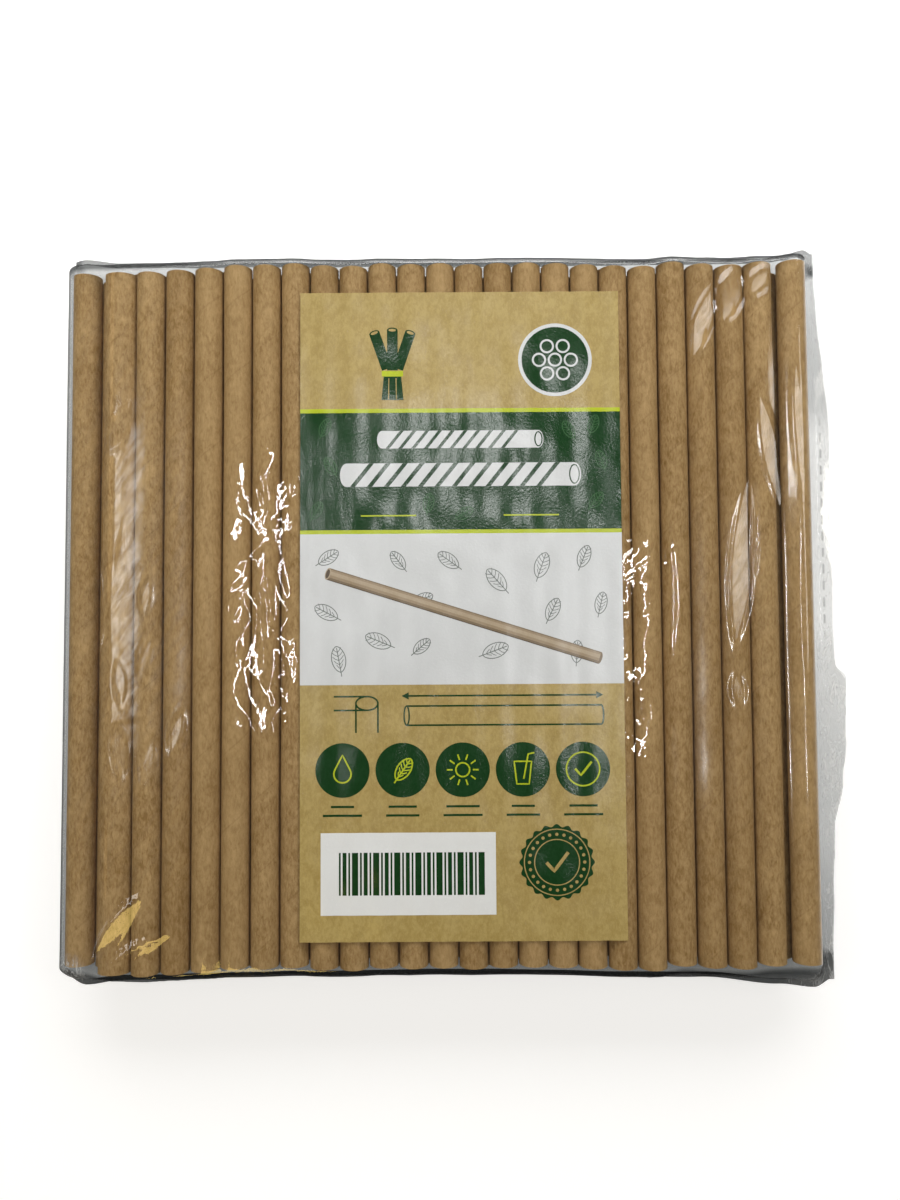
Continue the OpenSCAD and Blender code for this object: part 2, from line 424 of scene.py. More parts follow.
@dataclass(frozen=True)
class StrawPlace:
    """Where one straw of the frame lies, in millimetres."""

    x: float
    z: float
    half_width: float
    half_height: float
    low_y: float
    high_y: float

    @classmethod
    def of(cls, node: str) -> StrawPlace:
        """Returns the place of a node that holds one straw."""
        low, high = (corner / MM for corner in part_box(node))
        return cls(
            (low.x + high.x) / 2, (low.z + high.z) / 2,
            (high.x - low.x) / 2, (high.z - low.z) / 2, low.y, high.y,
        )


def deselect() -> None:
    """Leaves object mode clean, with nothing selected."""
    if bpy.context.object and bpy.context.object.mode != "OBJECT":
        bpy.ops.object.mode_set(mode="OBJECT")
    bpy.ops.object.select_all(action="DESELECT")


def pick(*pieces: bpy.types.Object) -> None:
    """Selects some pieces alone, the first one as the active one."""
    deselect()
    for piece in pieces:
        piece.select_set(True)
    bpy.context.view_layer.objects.active = pieces[0]


def settle(piece: bpy.types.Object, name: str) -> bpy.types.Object:
    """Names a piece and puts its place into its mesh."""
    piece.name = piece.data.name = name
    piece.data.transform(piece.matrix_world)
    piece.matrix_world = Matrix()
    return piece


def attach(piece: bpy.types.Object, slot: str, *nodes: str) -> None:
    """Fixes a finished piece to the frame.

    Args:
        piece: The piece, with its place in its mesh.
        slot: The record's material slot; not used.
        nodes: The nodes that the piece stands for.
    """
    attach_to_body(piece, BODY)
    if nodes:
        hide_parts(*nodes)
    LOG.info("%s: %d faces", piece.name, len(piece.data.polygons))


def smooth_faces(piece: bpy.types.Object) -> None:
    """Shades a piece smooth, except over its sharp edges."""
    pick(piece)
    bpy.ops.object.shade_smooth_by_angle(angle=math.radians(SMOOTH_ANGLE))


def store(piece: bpy.types.Object, name: str, values: Iterable[float]) -> None:
    """Keeps one number for each point of a mesh under a name."""
    made = piece.data.attributes.new(name, "FLOAT", "POINT")
    for item, value in zip(made.data, values):
        item.value = value


@dataclass
class StrawLayers:
    """The straws: the front layer as pieces of their own, the rest as they are in the frame."""

    count: int = 25
    radius: float = 4.0
    wall: float = 0.48
    plies: int = 4
    around: int = 56
    sections: int = 26
    seam_lead: float = 21.0
    wander: float = 0.16
    dent: float = 0.012
    paper: KraftStraw = field(default_factory=KraftStraw)

    def __post_init__(self) -> None:
        """Reads the front straws' places from the frame."""
        self.names = [f"straw_front_{i:02d}" for i in range(1, self.count + 1)]
        self.places = [StrawPlace.of(name) for name in self.names]

    def _tube(self, place: StrawPlace) -> bpy.types.Object:
        """Returns one open tube in even sections along Y, about its own middle."""
        length = place.high_y - place.low_y
        deselect()
        bpy.ops.mesh.primitive_cylinder_add(
            vertices=self.around, radius=place.half_height * MM, depth=length * MM,
            end_fill_type="NOTHING", rotation=(math.pi / 2, 0, 0),
        )
        tube = settle(bpy.context.object, "straw")
        mesh = bmesh.new()
        mesh.from_mesh(tube.data)
        for k in range(1, self.sections):
            bmesh.ops.bisect_plane(
                mesh, geom=[*mesh.verts, *mesh.edges, *mesh.faces],
                plane_co=(0, (k / self.sections - 0.5) * length * MM, 0), plane_no=(0, 1, 0),
            )
        mesh.to_mesh(tube.data)
        mesh.free()
        return tube

    def _wind(self, mesh: bmesh.types.BMesh) -> None:
        """Stores how far the outer ply has turned at each corner, for its spiral edge."""
        layer = mesh.loops.layers.float_vector.new("winding")
        for face in mesh.faces:
            middle = face.calc_center_median()
            base = math.atan2(middle.z, middle.x)
            for loop in face.loops:
                place = loop.vert.co
                away = math.remainder(math.atan2(place.z, place.x) - base, 2 * math.pi)
                turn = (base + away) / (2 * math.pi) + place.y / (self.seam_lead * MM)
                loop[layer] = Vector((turn, place.y / MM, 0))

    def _close(self, tube: bpy.types.Object) -> None:
        """Gives a tube the plies of its two ends and its bore."""
        mesh = bmesh.new()
        mesh.from_mesh(tube.data)
        ply = mesh.verts.layers.float.new("ply")
        ends = [e for e in mesh.edges if e.is_boundary]
        loops = [
            [e for e in ends if (e.verts[0].co.y > 0) == far] for far in (False, True)
        ]
        inner = []
        for loop, way in zip(loops, (-1, 1)):
            edges = loop
            for layer in range(self.plies):
                made = bmesh.ops.extrude_edge_only(mesh, edges=edges)["geom"]
                fresh = [v for v in made if isinstance(v, bmesh.types.BMVert)]
                edges = [e for e in made if isinstance(e, bmesh.types.BMEdge)]
                for vertex in fresh:
                    reach = math.hypot(vertex.co.x, vertex.co.z)
                    scale = (reach - self.wall / self.plies * MM) / reach
                    vertex.co.x *= scale
                    vertex.co.z *= scale
                    vertex.co.y += way * MM * (0.02 if layer % 2 else -0.02)
                    vertex[ply] = 1.0 if layer % 2 == 0 else 0.25
            inner += edges
        bmesh.ops.bridge_loops(mesh, edges=inner)
        bmesh.ops.recalc_face_normals(mesh, faces=mesh.faces)
        self._wind(mesh)
        mesh.to_mesh(tube.data)
        mesh.free()
        smooth_faces(tube)

    def _bend(self, piece: bpy.types.Object, seed: float) -> None:
        """Lets a straw wander a little off its line and gives it soft dents."""
        for vertex in piece.data.vertices:
            y = vertex.co.y / MM
            angle = math.atan2(vertex.co.z, vertex.co.x)
            side, up = math.cos(angle) * 1.3, math.sin(angle) * 1.3
            dent = 1 + self.dent * waver(side, y * 0.045 + seed, up)
            vertex.co.x *= dent
            vertex.co.z *= dent
            vertex.co.x += self.wander * MM * waver(y * 0.012, seed, 0.0)
            vertex.co.z += 0.5 * self.wander * MM * waver(y * 0.012, seed, 9.0)

    def _set_down(self, piece: bpy.types.Object, place: StrawPlace, rolled: float) -> None:
        """Rolls a straw about its axis, presses it to its oval and lays it in its place."""
        wide, high = place.half_width / self.radius, place.half_height / self.radius
        move = Matrix.Translation(Vector((place.x, (place.low_y + place.high_y) / 2, place.z)) * MM)
        squeeze = Matrix.Diagonal((wide, 1, high, 1))
        piece.data.transform(move @ squeeze @ Matrix.Rotation(rolled, 4, "Y"))

    def build(self) -> None:
        """Makes the front straws and dresses them and the frame's other straws."""
        paper = self.paper.build()
        first = self._tube(self.places[2])
        self._close(first)
        draw = random.Random(11)
        for name, place in zip(self.names, self.places):
            piece = first.copy()
            piece.data = first.data.copy()
            piece.name = piece.data.name = name.replace("straw_front", "paper_straw")
            bpy.context.collection.objects.link(piece)
            rolled = draw.uniform(0, 2 * math.pi)
            tint = draw.uniform(-0.25, 0.3)
            self._bend(piece, draw.uniform(0, 90))
            self._set_down(piece, place, rolled)
            store(piece, "tint", (tint for _ in piece.data.vertices))
            piece.data.materials.clear()
            piece.data.materials.append(paper)
            attach(piece, "kraft_straw", name)
        bpy.data.objects.remove(first)
        for name, piece in FRAME["nodes"].items():
            if name.startswith(("straw_back", "straws_inner")):
                piece.material_slots[0].material = paper


@dataclass(frozen=True)
class Fold:
    """One raised fold in the slack film: a long low hump."""

    x: float
    y: float
    half_width: float
    half_length: float
    turn: float
    height: float

    def rise(self, x: float, y: float) -> float:
        """Returns the fold's height at a place."""
        dx, dy = x - self.x, y - self.y
        if dx * dx + dy * dy > self.half_length ** 2:
            return 0.0
        cos, sin = math.cos(math.radians(self.turn)), math.sin(math.radians(self.turn))
        across = (dx * cos + dy * sin) / self.half_width
        along = (dy * cos - dx * sin) / self.half_length
        reach = 1 - across * across - along * along
        return self.height * reach * reach if reach > 0 else 0.0


@dataclass(frozen=True)
class Facet:
    """A lens-shaped part of the film that is drawn flat and leans to a side.

    It lies on one straw, or across several where it bridges them.
    """

    x: float
    y: float
    half_width: float
    half_length: float
    turn: float
    lean: float
    soft: float = 0.8
    bridges: bool = False

    def span(self) -> float:
        """Returns how far the lens reaches to each side along X."""
        turn = math.radians(self.turn)
        return max(self.half_width * math.cos(turn), self.half_length * abs(math.sin(turn)))

    def across(self, x: float, y: float) -> float:
        """Returns a place's distance from the lens's long axis."""
        turn = math.radians(self.turn)
        return (x - self.x) * math.cos(turn) + (y - self.y) * math.sin(turn)

    def share(self, x: float, y: float) -> float:
        """Returns 1 inside the lens and 0 outside it."""
        turn = math.radians(self.turn)
        along = ((y - self.y) * math.cos(turn) - (x - self.x) * math.sin(turn)) / self.half_length
        if abs(along) >= 1:
            return 0.0
        half = self.half_width * (1 - along * along)
        return smooth_step(half, half - self.soft, abs(self.across(x, y)))

    def drop(self, x: float, y: float) -> float:
        """Returns how far the flat part lies below its middle at a place."""
        return math.tan(math.radians(self.lean)) * self.across(x, y)


# How far the film reaches, by the place across or along the pack.
FAR_END: tuple[Point, ...] = (
    (-117, 104.6), (-110, 106.6), (-99, 105.5), (-45, 105.4), (0, 105.1), (74, 105.4),
    (93, 105.8), (98.5, 106.5), (105.5, 108.2), (108.5, 106.6), (111, 104),
)
NEAR_END: tuple[Point, ...] = (
    (-116, 102.4), (-107, 106.9), (-97, 105.7), (-45, 104.9), (0, 104.6), (70, 105.9),
    (93, 107.8), (103.4, 109), (109, 106.4), (111, 103.5),
)
SIDE_SEAL: tuple[Point, ...] = (
    (-106, 109), (-84, 109.7), (-64, 110.5), (-50, 113.2), (-38, 114.6), (-19.8, 114.9),
    (-16, 111.6), (-9, 111.6), (53, 111.8), (93, 108.9), (104, 108.2),
)
# How much painted shade darkens the film, standing in for the pack's shadow on the floor seen through it:
# at the ends by how far past the straws, at the sides by the place along Y.
FAR_PAINTED_SHADE: tuple[Point, ...] = ((2, 0.86), (5, 0.5))
NEAR_PAINTED_SHADE: tuple[Point, ...] = ((3, 0.97), (6, 0.88))
LEFT_PAINTED_SHADE: tuple[Point, ...] = ((-100, 0.88), (-60, 0.82), (0, 0.76), (60, 0.72), (95, 0.72))
RIGHT_PAINTED_SHADE: tuple[Point, ...] = (
    (-100, 0.52), (-58, 0.3), (-14, 0.2), (-6, 0.1), (50, 0.1), (64, 0.32),
)
# How frosted it is, with painted glints on its crinkles, by the place along Y, and in the corners by
# strength, reach and place.
RIGHT_FROST_AND_GLINTS: tuple[Point, ...] = (
    (-105, 0.45), (-60, 0.4), (-14, 0.6), (-9, 0.8), (-4, 0.2), (60, 0.12),
)
CORNER_FROST_AND_GLINTS = ((0.4, 8, (101, -105)), (0.5, 7, (-108, -100.5)), (0.3, 9, (103, 105)))


@dataclass
class FilmSleeve:
    """The clear film: a front and a back sheet that meet in a flat seal."""

    straws: StrawLayers
    across: int = 340
    along: int = 230
    back_across: int = 110
    back_along: int = 80
    gap: float = 0.12
    dip: float = 0.07
    last_dip: float = 0.6
    slack: float = 2.2
    root_out: float = 3.4
    flange: float = 0.045
    # The grid's share that forms each end, and how its rows go to the slope and the weld.
    end: float = 0.085
    slope_rows: float = 0.78
    weld_rows: float = 0.22
    weld_width: float = 1.6
    columns_hidden: float = 0.06
    # Stored where there are no dashes, and how far out from the seal's root the dashes run.
    no_seam: float = 99.0
    dashes_out: float = 1.5
    # The heights above the seal between which the slack waves grow.
    slack_from: float = 3.0
    slack_to: float = 11.0
    back_crease: float = 0.14
    # Below this place along Y the left half mirrors sharply.
    sharp_below: float = -76.0
    # How a bridging facet finds its straws, and how far it lies above the highest of them.
    bridge_reach: float = 4.0
    bridge_lift: float = 0.12
    outer_lift: float = 0.3
    outer_from: float = 80.0
    film: ClearFilm = field(default_factory=ClearFilm)
    folds: tuple[Fold, ...] = (
        # Over the outer straws and beside the label at the left, then at the upper right.
        Fold(-92.4, -29.5, 0.8, 9.0, -80.0, 0.16),
        Fold(-99.6, 9.0, 0.9, 9.0, 10.0, 0.16),
        Fold(-99.4, -8.0, 0.9, 8.0, -14.0, 0.16),
        Fold(-98.6, -20.0, 0.8, 7.0, 16.0, 0.14),
        Fold(-62.0, 2.0, 2.6, 6.0, -14.0, 0.2),
        Fold(-61.0, -12.0, 2.0, 5.0, 10.0, 0.16),
        Fold(-56.6, 16.5, 1.6, 10.0, -55.0, 0.2),
        Fold(-52.7, 1.5, 2.4, 19.0, 0.0, 0.2),
        Fold(-53.0, 32.0, 1.8, 7.0, 4.0, 0.14),
        Fold(-47.5, -4.0, 1.8, 5.0, -30.0, 0.2),
        Fold(-47.5, -22.0, 2.0, 6.0, 24.0, 0.2),
        Fold(78.0, 91.0, 0.7, 6.0, 35.0, 0.14),
        Fold(80.0, 87.0, 0.7, 5.0, 48.0, 0.12),
    )
    facets: tuple[Facet, ...] = (
        # The long lenses on the outer straws at the right.
        Facet(80.7, 14.0, 4.2, 28.0, -6.0, 7.5),
        Facet(89.3, 44.0, 3.2, 19.0, 9.0, 6.5),
        Facet(70.9, 81.5, 3.6, 13.0, -17.0, 9.0),
        Facet(78.6, 89.0, 4.6, 9.0, -12.0, 8.0),
        Facet(87.0, 93.0, 3.6, 6.0, -30.0, 6.0, 1.4),
        Facet(97.0, 52.0, 2.6, 26.0, 2.0, 5.0, 1.6),
        Facet(97.0, -2.0, 1.8, 24.0, 0.0, 4.6, 1.6),
        Facet(78.6, -22.6, 2.6, 6.0, 6.0, 7.5),
        # The blurred lenses on the outer straws at the left.
        Facet(-94.4, 52.0, 4.2, 9.0, -22.0, -5.5, 1.6),
        Facet(-94.0, 6.0, 3.4, 21.0, -3.0, -5.5, 2.2),
        Facet(-93.6, -19.0, 3.2, 7.5, 6.0, -5.5, 2.0),
        Facet(-93.4, -38.0, 3.8, 8.0, 10.0, -5.5, 1.8),
        Facet(-86.2, 4.6, 2.6, 6.5, -6.0, -6.0, 1.6),
        Facet(-86.4, -12.0, 2.4, 7.0, -16.0, -6.0, 1.6),
        Facet(-85.2, -42.0, 3.2, 9.0, -8.0, -6.5, 1.6),
        Facet(-77.4, -33.0, 2.8, 7.5, -14.0, -7.5, 1.4),
        # The crisp outlines on both sides of the label, the last two at the lower left corner.
        Facet(60.2, 4.0, 1.9, 20.0, 0.0, 2.6),
        Facet(51.5, 12.0, 4.8, 8.5, -34.0, 0.0, 0.6, True),
        Facet(48.6, -19.0, 2.8, 5.0, -50.0, 0.0, 0.6, True),
        Facet(48.2, -39.5, 2.4, 4.0, -40.0, 0.0, 0.6, True),
        Facet(-61.0, 4.0, 2.3, 6.5, -20.0, 1.1, 0.5, True),
        Facet(-60.0, -14.5, 1.3, 4.0, -12.0, 1.1, 0.5, True),
        Facet(-53.2, -2.0, 1.7, 13.0, 0.0, 1.4, 0.35, True),
        Facet(-53.5, 32.0, 1.2, 8.0, 0.0, 0.2, 0.5, True),
        Facet(-48.0, -2.5, 2.2, 4.0, -30.0, -0.7, 0.5, True),
        Facet(-48.0, -22.0, 2.3, 5.0, 25.0, -0.7, 0.5, True),
        Facet(-48.0, 33.0, 2.2, 4.0, -20.0, -0.7, 0.5, True),
        Facet(-93.2, -86.2, 3.1, 12.0, -38.5, 8.6, 0.5, True),
        Facet(-87.6, -92.4, 2.1, 10.6, -62.0, 8.6, 0.5, True),
    )

    def __post_init__(self) -> None:
        """Reads the film's box and the label's outline from the frame."""
        low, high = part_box("film_sleeve")
        self.seal_z = (low.z + high.z) / 2 / MM
        low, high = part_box("front_label")
        self.label_low, self.label_high = low / MM, high / MM
        self.bridge_heights = [self._bridge_height(facet) for facet in self.facets]
        self.root_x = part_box("straws_inner_upper")[1].x / MM + self.root_out
        self._read_front = self._reader(self._front_line())
        self._read_back = self._reader(self._back_line())
        left, right = self.label_low.x + 3, self.label_high.x - 3
        hidden = [k / 2000 for k in range(2001) if left < self._read_front(k / 2000)[0] < right]
        self.hidden_from, self.hidden_to = hidden[0], hidden[-1]

    def _bridge_height(self, facet: Facet) -> float:
        """Returns how high a facet lies that is drawn flat across several straws."""
        reach = facet.span() + self.bridge_reach
        near = [p.z + p.half_height for p in self.straws.places if abs(p.x - facet.x) < reach]
        lift = self.outer_lift if abs(facet.x) > self.outer_from else self.bridge_lift
        return max(near) + self.gap + lift

    def _front_line(self) -> list[Point]:
        """Returns the front sheet's section, from the left fold to the seal's root."""
        places = self.straws.places
        first, last, reach = places[0], places[-1], self.gap
        line = [(first.x - first.half_width - self.slack, self.seal_z)]
        for angle in range(170, 84, -12):
            dx, dz = at_angle(first.half_width + reach, math.radians(angle))
            slack = self.slack * 0.75 * smooth_step(90, 180, angle)
            line.append((first.x - slack + dx, first.z + dz))
        second = places[1]
        line.append((second.x - second.half_width * 0.55, second.z + second.half_height * 0.86 + reach))
        for here, following in zip(places[1:], places[2:]):
            top = here.z + here.half_height + reach
            next_top = following.z + following.half_height + reach
            dip = self.last_dip if following is last else self.dip
            for step in range(6):
                share = step / 6
                sag = dip * math.sin(math.pi * share) ** 2
                line.append((lerp(here.x, following.x, share), lerp(top, next_top, share) - sag))
        for angle in range(90, 20, -10):
            dx, dz = at_angle(last.half_width + reach, math.radians(angle))
            line.append((last.x + dx, last.z + dz))
        end_x, end_z = line[-1]
        for step in range(1, 9):
            share = step / 8
            bow = 0.7 * math.sin(math.pi * share)
            line.append((lerp(end_x, self.root_x, share) - bow, lerp(end_z, self.seal_z, share) - bow))
        inner = [
            ((a[0] + 2 * b[0] + c[0]) / 4, (a[1] + 2 * b[1] + c[1]) / 4)
            for a, b, c in zip(line, line[1:], line[2:])
        ]
        return [line[0], *inner, line[-1]]

    def _back_line(self) -> list[Point]:
        """Returns the back sheet's section, from the left fold to the seal's root."""
        left = StrawPlace.of("straw_back_01")
        right = StrawPlace.of("straw_back_25")
        first = self.straws.places[0]
        out = left.half_width + self.gap
        line = [(first.x - first.half_width - self.slack, self.seal_z)]
        for start, stop, straw in ((215, 271, left), (-90, -9, right)):
            for angle in range(start, stop, 10):
                dx, dz = at_angle(out, math.radians(angle))
                line.append((straw.x + dx, out + dz))
        line.append((self.root_x, self.seal_z))
        return line

    @staticmethod
    def _reader(line: list[Point]) -> Callable[[float], Point]:
        """Returns a function that reads a line at a share of its length."""
        marks = [0.0]
        for a, b in zip(line, line[1:]):
            marks.append(marks[-1] + math.dist(a, b))

        def read(share: float) -> Point:
            """Returns the point at a share of the line's length."""
            at = share * marks[-1]
            low = min(len(marks) - 2, max(0, bisect_right(marks, at) - 1))
            part = (at - marks[low]) / max(1e-9, marks[low + 1] - marks[low])
            (x0, z0), (x1, z1) = line[low], line[low + 1]
            return lerp(x0, x1, part), lerp(z0, z1, part)

        return read

    def end_edge(self, x: float, far: bool) -> float:
        """Returns how far along Y the film reaches at a place across the pack.

        Args:
            x: The place, from the middle of the pack.
            far: Whether it is the end on the +Y side.

        Returns:
            The distance from the middle to the edge of the end seal.
        """
        wander = 0.3 * waver(x * 0.06, 3.0 if far else 9.0, 0.0)
        return follow(FAR_END if far else NEAR_END, x) + wander

    def side_edge(self, y: float) -> float:
        """Returns how far out the side seal reaches at a place along the pack."""
        return follow(SIDE_SEAL, y) + 0.2 * waver(y * 0.09, 5.0, 0.0)

    def straw_end(self, x: float, far: bool) -> float:
        """Returns where the straws' ends lift the film off, at a place across the pack."""
        ends = [(p.x, p.high_y if far else -p.low_y) for p in self.straws.places]
        return follow(ends, x) + 0.5

    def off_label(self, x: float, y: float) -> float:
        """Returns how far a place lies outside the label, or less than 0 under it."""
        out_x = max(self.label_low.x - x, x - self.label_high.x)
        out_y = max(self.label_low.y - y, y - self.label_high.y)
        return max(out_x, out_y)

    def wrinkled(self, x: float, y: float) -> float:
        """Returns how wrinkled the film is, from 0 to 1, by the place on the front."""
        patch = 0.5 + waver(x * 0.13, y * 0.08, 1.7)
        left = self.label_low.x - x
        right = x - self.label_high.x
        near_left = smooth_step(26, 12, left) * smooth_step(-50, -34, y) * smooth_step(56, 34, y)
        near_right = smooth_step(14, 4, right) * smooth_step(-50, -30, y) * smooth_step(32, 18, y)
        near = max(near_left if left > -2 else 0.0, near_right if right > -2 else 0.0)
        near *= 0.35 + 0.65 * smooth_step(0.25, 0.75, patch)
        ends = 0.3 * smooth_step(97, 102, abs(y))
        left_side = 0.18 * smooth_step(-82, -92, x) + 0.45 * smooth_step(-106, -110, x)
        right_side = 0.1 * smooth_step(90, 95, x) + 0.4 * smooth_step(102, 107, x)
        return min(1.0, max(near, ends, left_side, right_side, 0.03))

    def fanned(self, x: float, y: float) -> float:
        """Returns the share of the slanting fans of wrinkles on both sides of the label."""
        right = x - self.label_high.x
        main = smooth_step(20, 14, right) * smooth_step(-9, -2, y) * smooth_step(22, 16, y)
        tail = 0.9 * smooth_step(12, 6, right) * smooth_step(-28, -22, y) * smooth_step(-10, -15, y)
        low = 0.8 * smooth_step(9, 5, right) * smooth_step(-46, -42, y) * smooth_step(-32, -36, y)
        share = max(main, tail, low) * smooth_step(-0.5, 0.5, right)
        for middle_x, middle_y in ((-62.0, 4.0), (-48.0, -2.0), (-48.5, -24.0), (-47.5, 24.0)):
            away = math.hypot((x - middle_x) / 1.3, (y - middle_y) / 2.0)
            share = max(share, 0.8 * smooth_step(3.4, 1.6, away))
        return share

    def painted_shade(self, place: Vector) -> float:
        """Returns how much painted shade darkens the film beyond the straws, from 0 to 1."""
        first, last = self.straws.places[0], self.straws.places[-1]
        far = place.y > 0
        past = abs(place.y) - self.straw_end(place.x, far)
        ends = smooth_step(-0.5, 1.0, past)
        ends *= follow(FAR_PAINTED_SHADE if far else NEAR_PAINTED_SHADE, past)
        left = smooth_step(-0.5, 1.0, first.x - first.half_width - place.x)
        left *= follow(LEFT_PAINTED_SHADE, place.y)
        right = smooth_step(-0.5, 2.0, place.x - last.x - last.half_width)
        right *= follow(RIGHT_PAINTED_SHADE, place.y)
        sides = max(left, right)
        return sides if sides > 0.02 and past < 0 else max(ends, sides)

    def softened(self, x: float, y: float) -> float:
        """Returns how blurred the film mirrors, from 0 near the label to 1 at the outer straws."""
        if x <= 0 and y <= self.sharp_below:
            return 0.0
        return max(smooth_step(-66, -80, x), 0.55 * smooth_step(60, 68, x))

    def frost_and_glints_share(self, place: Vector) -> float:
        """Returns how frosted the film is by crinkles, with painted glints on them, from 0 to 1."""
        last = self.straws.places[-1]
        right = smooth_step(2.5, 6.0, place.x - last.x - last.half_width)
        right *= follow(RIGHT_FROST_AND_GLINTS, place.y)
        here = place.x, place.y
        corners = (
            strength * smooth_step(reach, 2, math.dist(here, corner))
            for strength, reach, corner in CORNER_FROST_AND_GLINTS
        )
        return max(right, *corners)

    def lift(self, x: float, y: float) -> float:
        """Returns how far the film stands off the straws in slack waves."""
        slow = 0.5 + waver(x * 0.03, y * 0.018, 4.2)
        mid = 0.5 + waver(x * 0.09, y * 0.05, 8.1)
        sharp = 1 - abs(waver(x * 0.13 + y * 0.03, y * 0.07, 2.3)) * 2
        wave = 0.14 * slow + 0.06 * mid + 0.14 * self.wrinkled(x, y) * max(0.0, sharp) ** 2
        wave += sum(fold.rise(x, y) for fold in self.folds)
        return max(0.0, wave) * smooth_step(0.0, 6.0, self.off_label(x, y))

    def _drawn_flat(self, x: float, y: float, z: float) -> float:
        """Returns the film's height at a place, drawn flat where a facet lies."""
        straw = min(self.straws.places, key=lambda p: abs(p.x - x))
        on_straw = smooth_step(straw.half_width + 0.1, straw.half_width - 0.7, abs(x - straw.x))
        crest = straw.z + straw.half_height + self.gap + 0.05
        for facet, bridge in zip(self.facets, self.bridge_heights):
            share = facet.share(x, y) * (1.0 if facet.bridges else on_straw)
            if share > 0:
                height = bridge if facet.bridges else crest
                z = lerp(z, height - facet.drop(x, y), share)
        return z

    def _column(self, share: float) -> float:
        """Spreads the columns so that few of them lie hidden under the label."""
        shown = (1 - self.columns_hidden) / (1 - self.hidden_to + self.hidden_from)
        first = self.hidden_from * shown
        if share < first:
            return share / shown
        if share < first + self.columns_hidden:
            return lerp(self.hidden_from, self.hidden_to, (share - first) / self.columns_hidden)
        return self.hidden_to + (share - first - self.columns_hidden) / shown

    def _along(self, step: float, x: float) -> tuple[float, float]:
        """Returns a place along the pack, and how closed the film is there."""
        far = step > 0.5
        share = min(step, 1 - step) / self.end
        if share >= 1:
            part = (step - self.end) / (1 - 2 * self.end)
            return lerp(-self.straw_end(x, False), self.straw_end(x, True), part), 0.0
        start = self.straw_end(x, far)
        weld = self.end_edge(x, far) - self.weld_width
        out = (1 - share) / self.slope_rows
        if out < 1:
            y = lerp(start, weld, out ** 0.8)
            close = 1 - math.cos(math.pi / 2 * out) ** 1.15
        else:
            y = weld + self.weld_width * (out - 1) * self.slope_rows / self.weld_rows
            close = 1.0
        return (y if far else -y), close

    def _flap(self, x: float, y: float, outside: float) -> float:
        """Returns how far the side seal's loose flap waves up at a place."""
        return 0.6 * outside * waver(x * 0.12, y * 0.1, 12.0)

    def _front_point(self, share: float, step: float) -> tuple[Vector, float]:
        """Returns a point of the front sheet, and its distance from the seal's dashes."""
        x, z = self._read_front(self._column(min(1.0, share / (1 - self.flange))))
        outside = max(0.0, (share - 1 + self.flange) / self.flange)
        y, close = self._along(step, x)
        seam = self.no_seam
        if outside > 0:
            edge = self.side_edge(y)
            x, z = lerp(self.root_x, edge, outside), self.seal_z
            seam = x - self.root_x - self.dashes_out
        free = smooth_step(self.seal_z + self.slack_from, self.seal_z + self.slack_to, z)
        height = self.lift(x, y) * free * (1 - close)
        if outside == 0 and close < 0.02:
            z = self._drawn_flat(x, y, z + height) - height
        pleat = 0.35 * waver(x * 0.5, y * 0.05, 6.0) * math.sin(math.pi * min(1.0, close))
        z = lerp(z, self.seal_z, close) + height + self._flap(x, y, outside)
        return Vector((x, y + math.copysign(pleat, y), z)), seam

    def _back_point(self, share: float, step: float) -> Vector:
        """Returns a point of the back sheet."""
        x, z = self._read_back(min(1.0, share / (1 - self.flange)))
        outside = max(0.0, (share - 1 + self.flange) / self.flange)
        y, close = self._along(step, x)
        if outside > 0:
            x, z = lerp(self.root_x, self.side_edge(y) - 0.3, outside), self.seal_z
        z = lerp(z, self.seal_z, close) - 0.08 * max(close, outside)
        return Vector((x, y, z + self._flap(x, y, outside)))

    def _sheet(self, name: str, across: int, along: int) -> bpy.types.Object:
        """Returns a flat grid, one unit wide, to be drawn over the pack."""
        deselect()
        bpy.ops.mesh.primitive_grid_add(x_subdivisions=across, y_subdivisions=along, size=1)
        return settle(bpy.context.object, name)

    def build(self) -> None:
        """Makes the film and dresses it."""
        front = self._sheet("film_front", self.across, self.along)
        seams = []
        for vertex in front.data.vertices:
            place, seam = self._front_point(vertex.co.x + 0.5, vertex.co.y + 0.5)
            vertex.co = place * MM
            seams.append(seam)
        back = self._sheet("film_back", self.back_across, self.back_along)
        for vertex in back.data.vertices:
            vertex.co = self._back_point(vertex.co.x + 0.5, vertex.co.y + 0.5) * MM
        back.data.flip_normals()
        places = [v.co / MM for v in front.data.vertices]
        store(front, "seam", seams)
        store(front, "crease", (self.wrinkled(p.x, p.y) for p in places))
        store(front, "fan", (self.fanned(p.x, p.y) for p in places))
        store(front, "frost_and_glints", (self.frost_and_glints_share(p) for p in places))
        store(front, "soft", (self.softened(p.x, p.y) for p in places))
        store(back, "seam", (self.no_seam for _ in back.data.vertices))
        store(back, "crease", (self.back_crease for _ in back.data.vertices))
        # Painted shade past the straws, on both sheets.
        for sheet in (front, back):
            store(sheet, "grey", (self.painted_shade(v.co / MM) for v in sheet.data.vertices))
        pick(front, back)
        bpy.ops.object.join()
        for face in front.data.polygons:
            face.use_smooth = True
        front.data.materials.clear()
        front.data.materials.append(self.film.build())
        front.name = front.data.name = "shrink_film"
        attach(front, "clear_film", "film_sleeve")


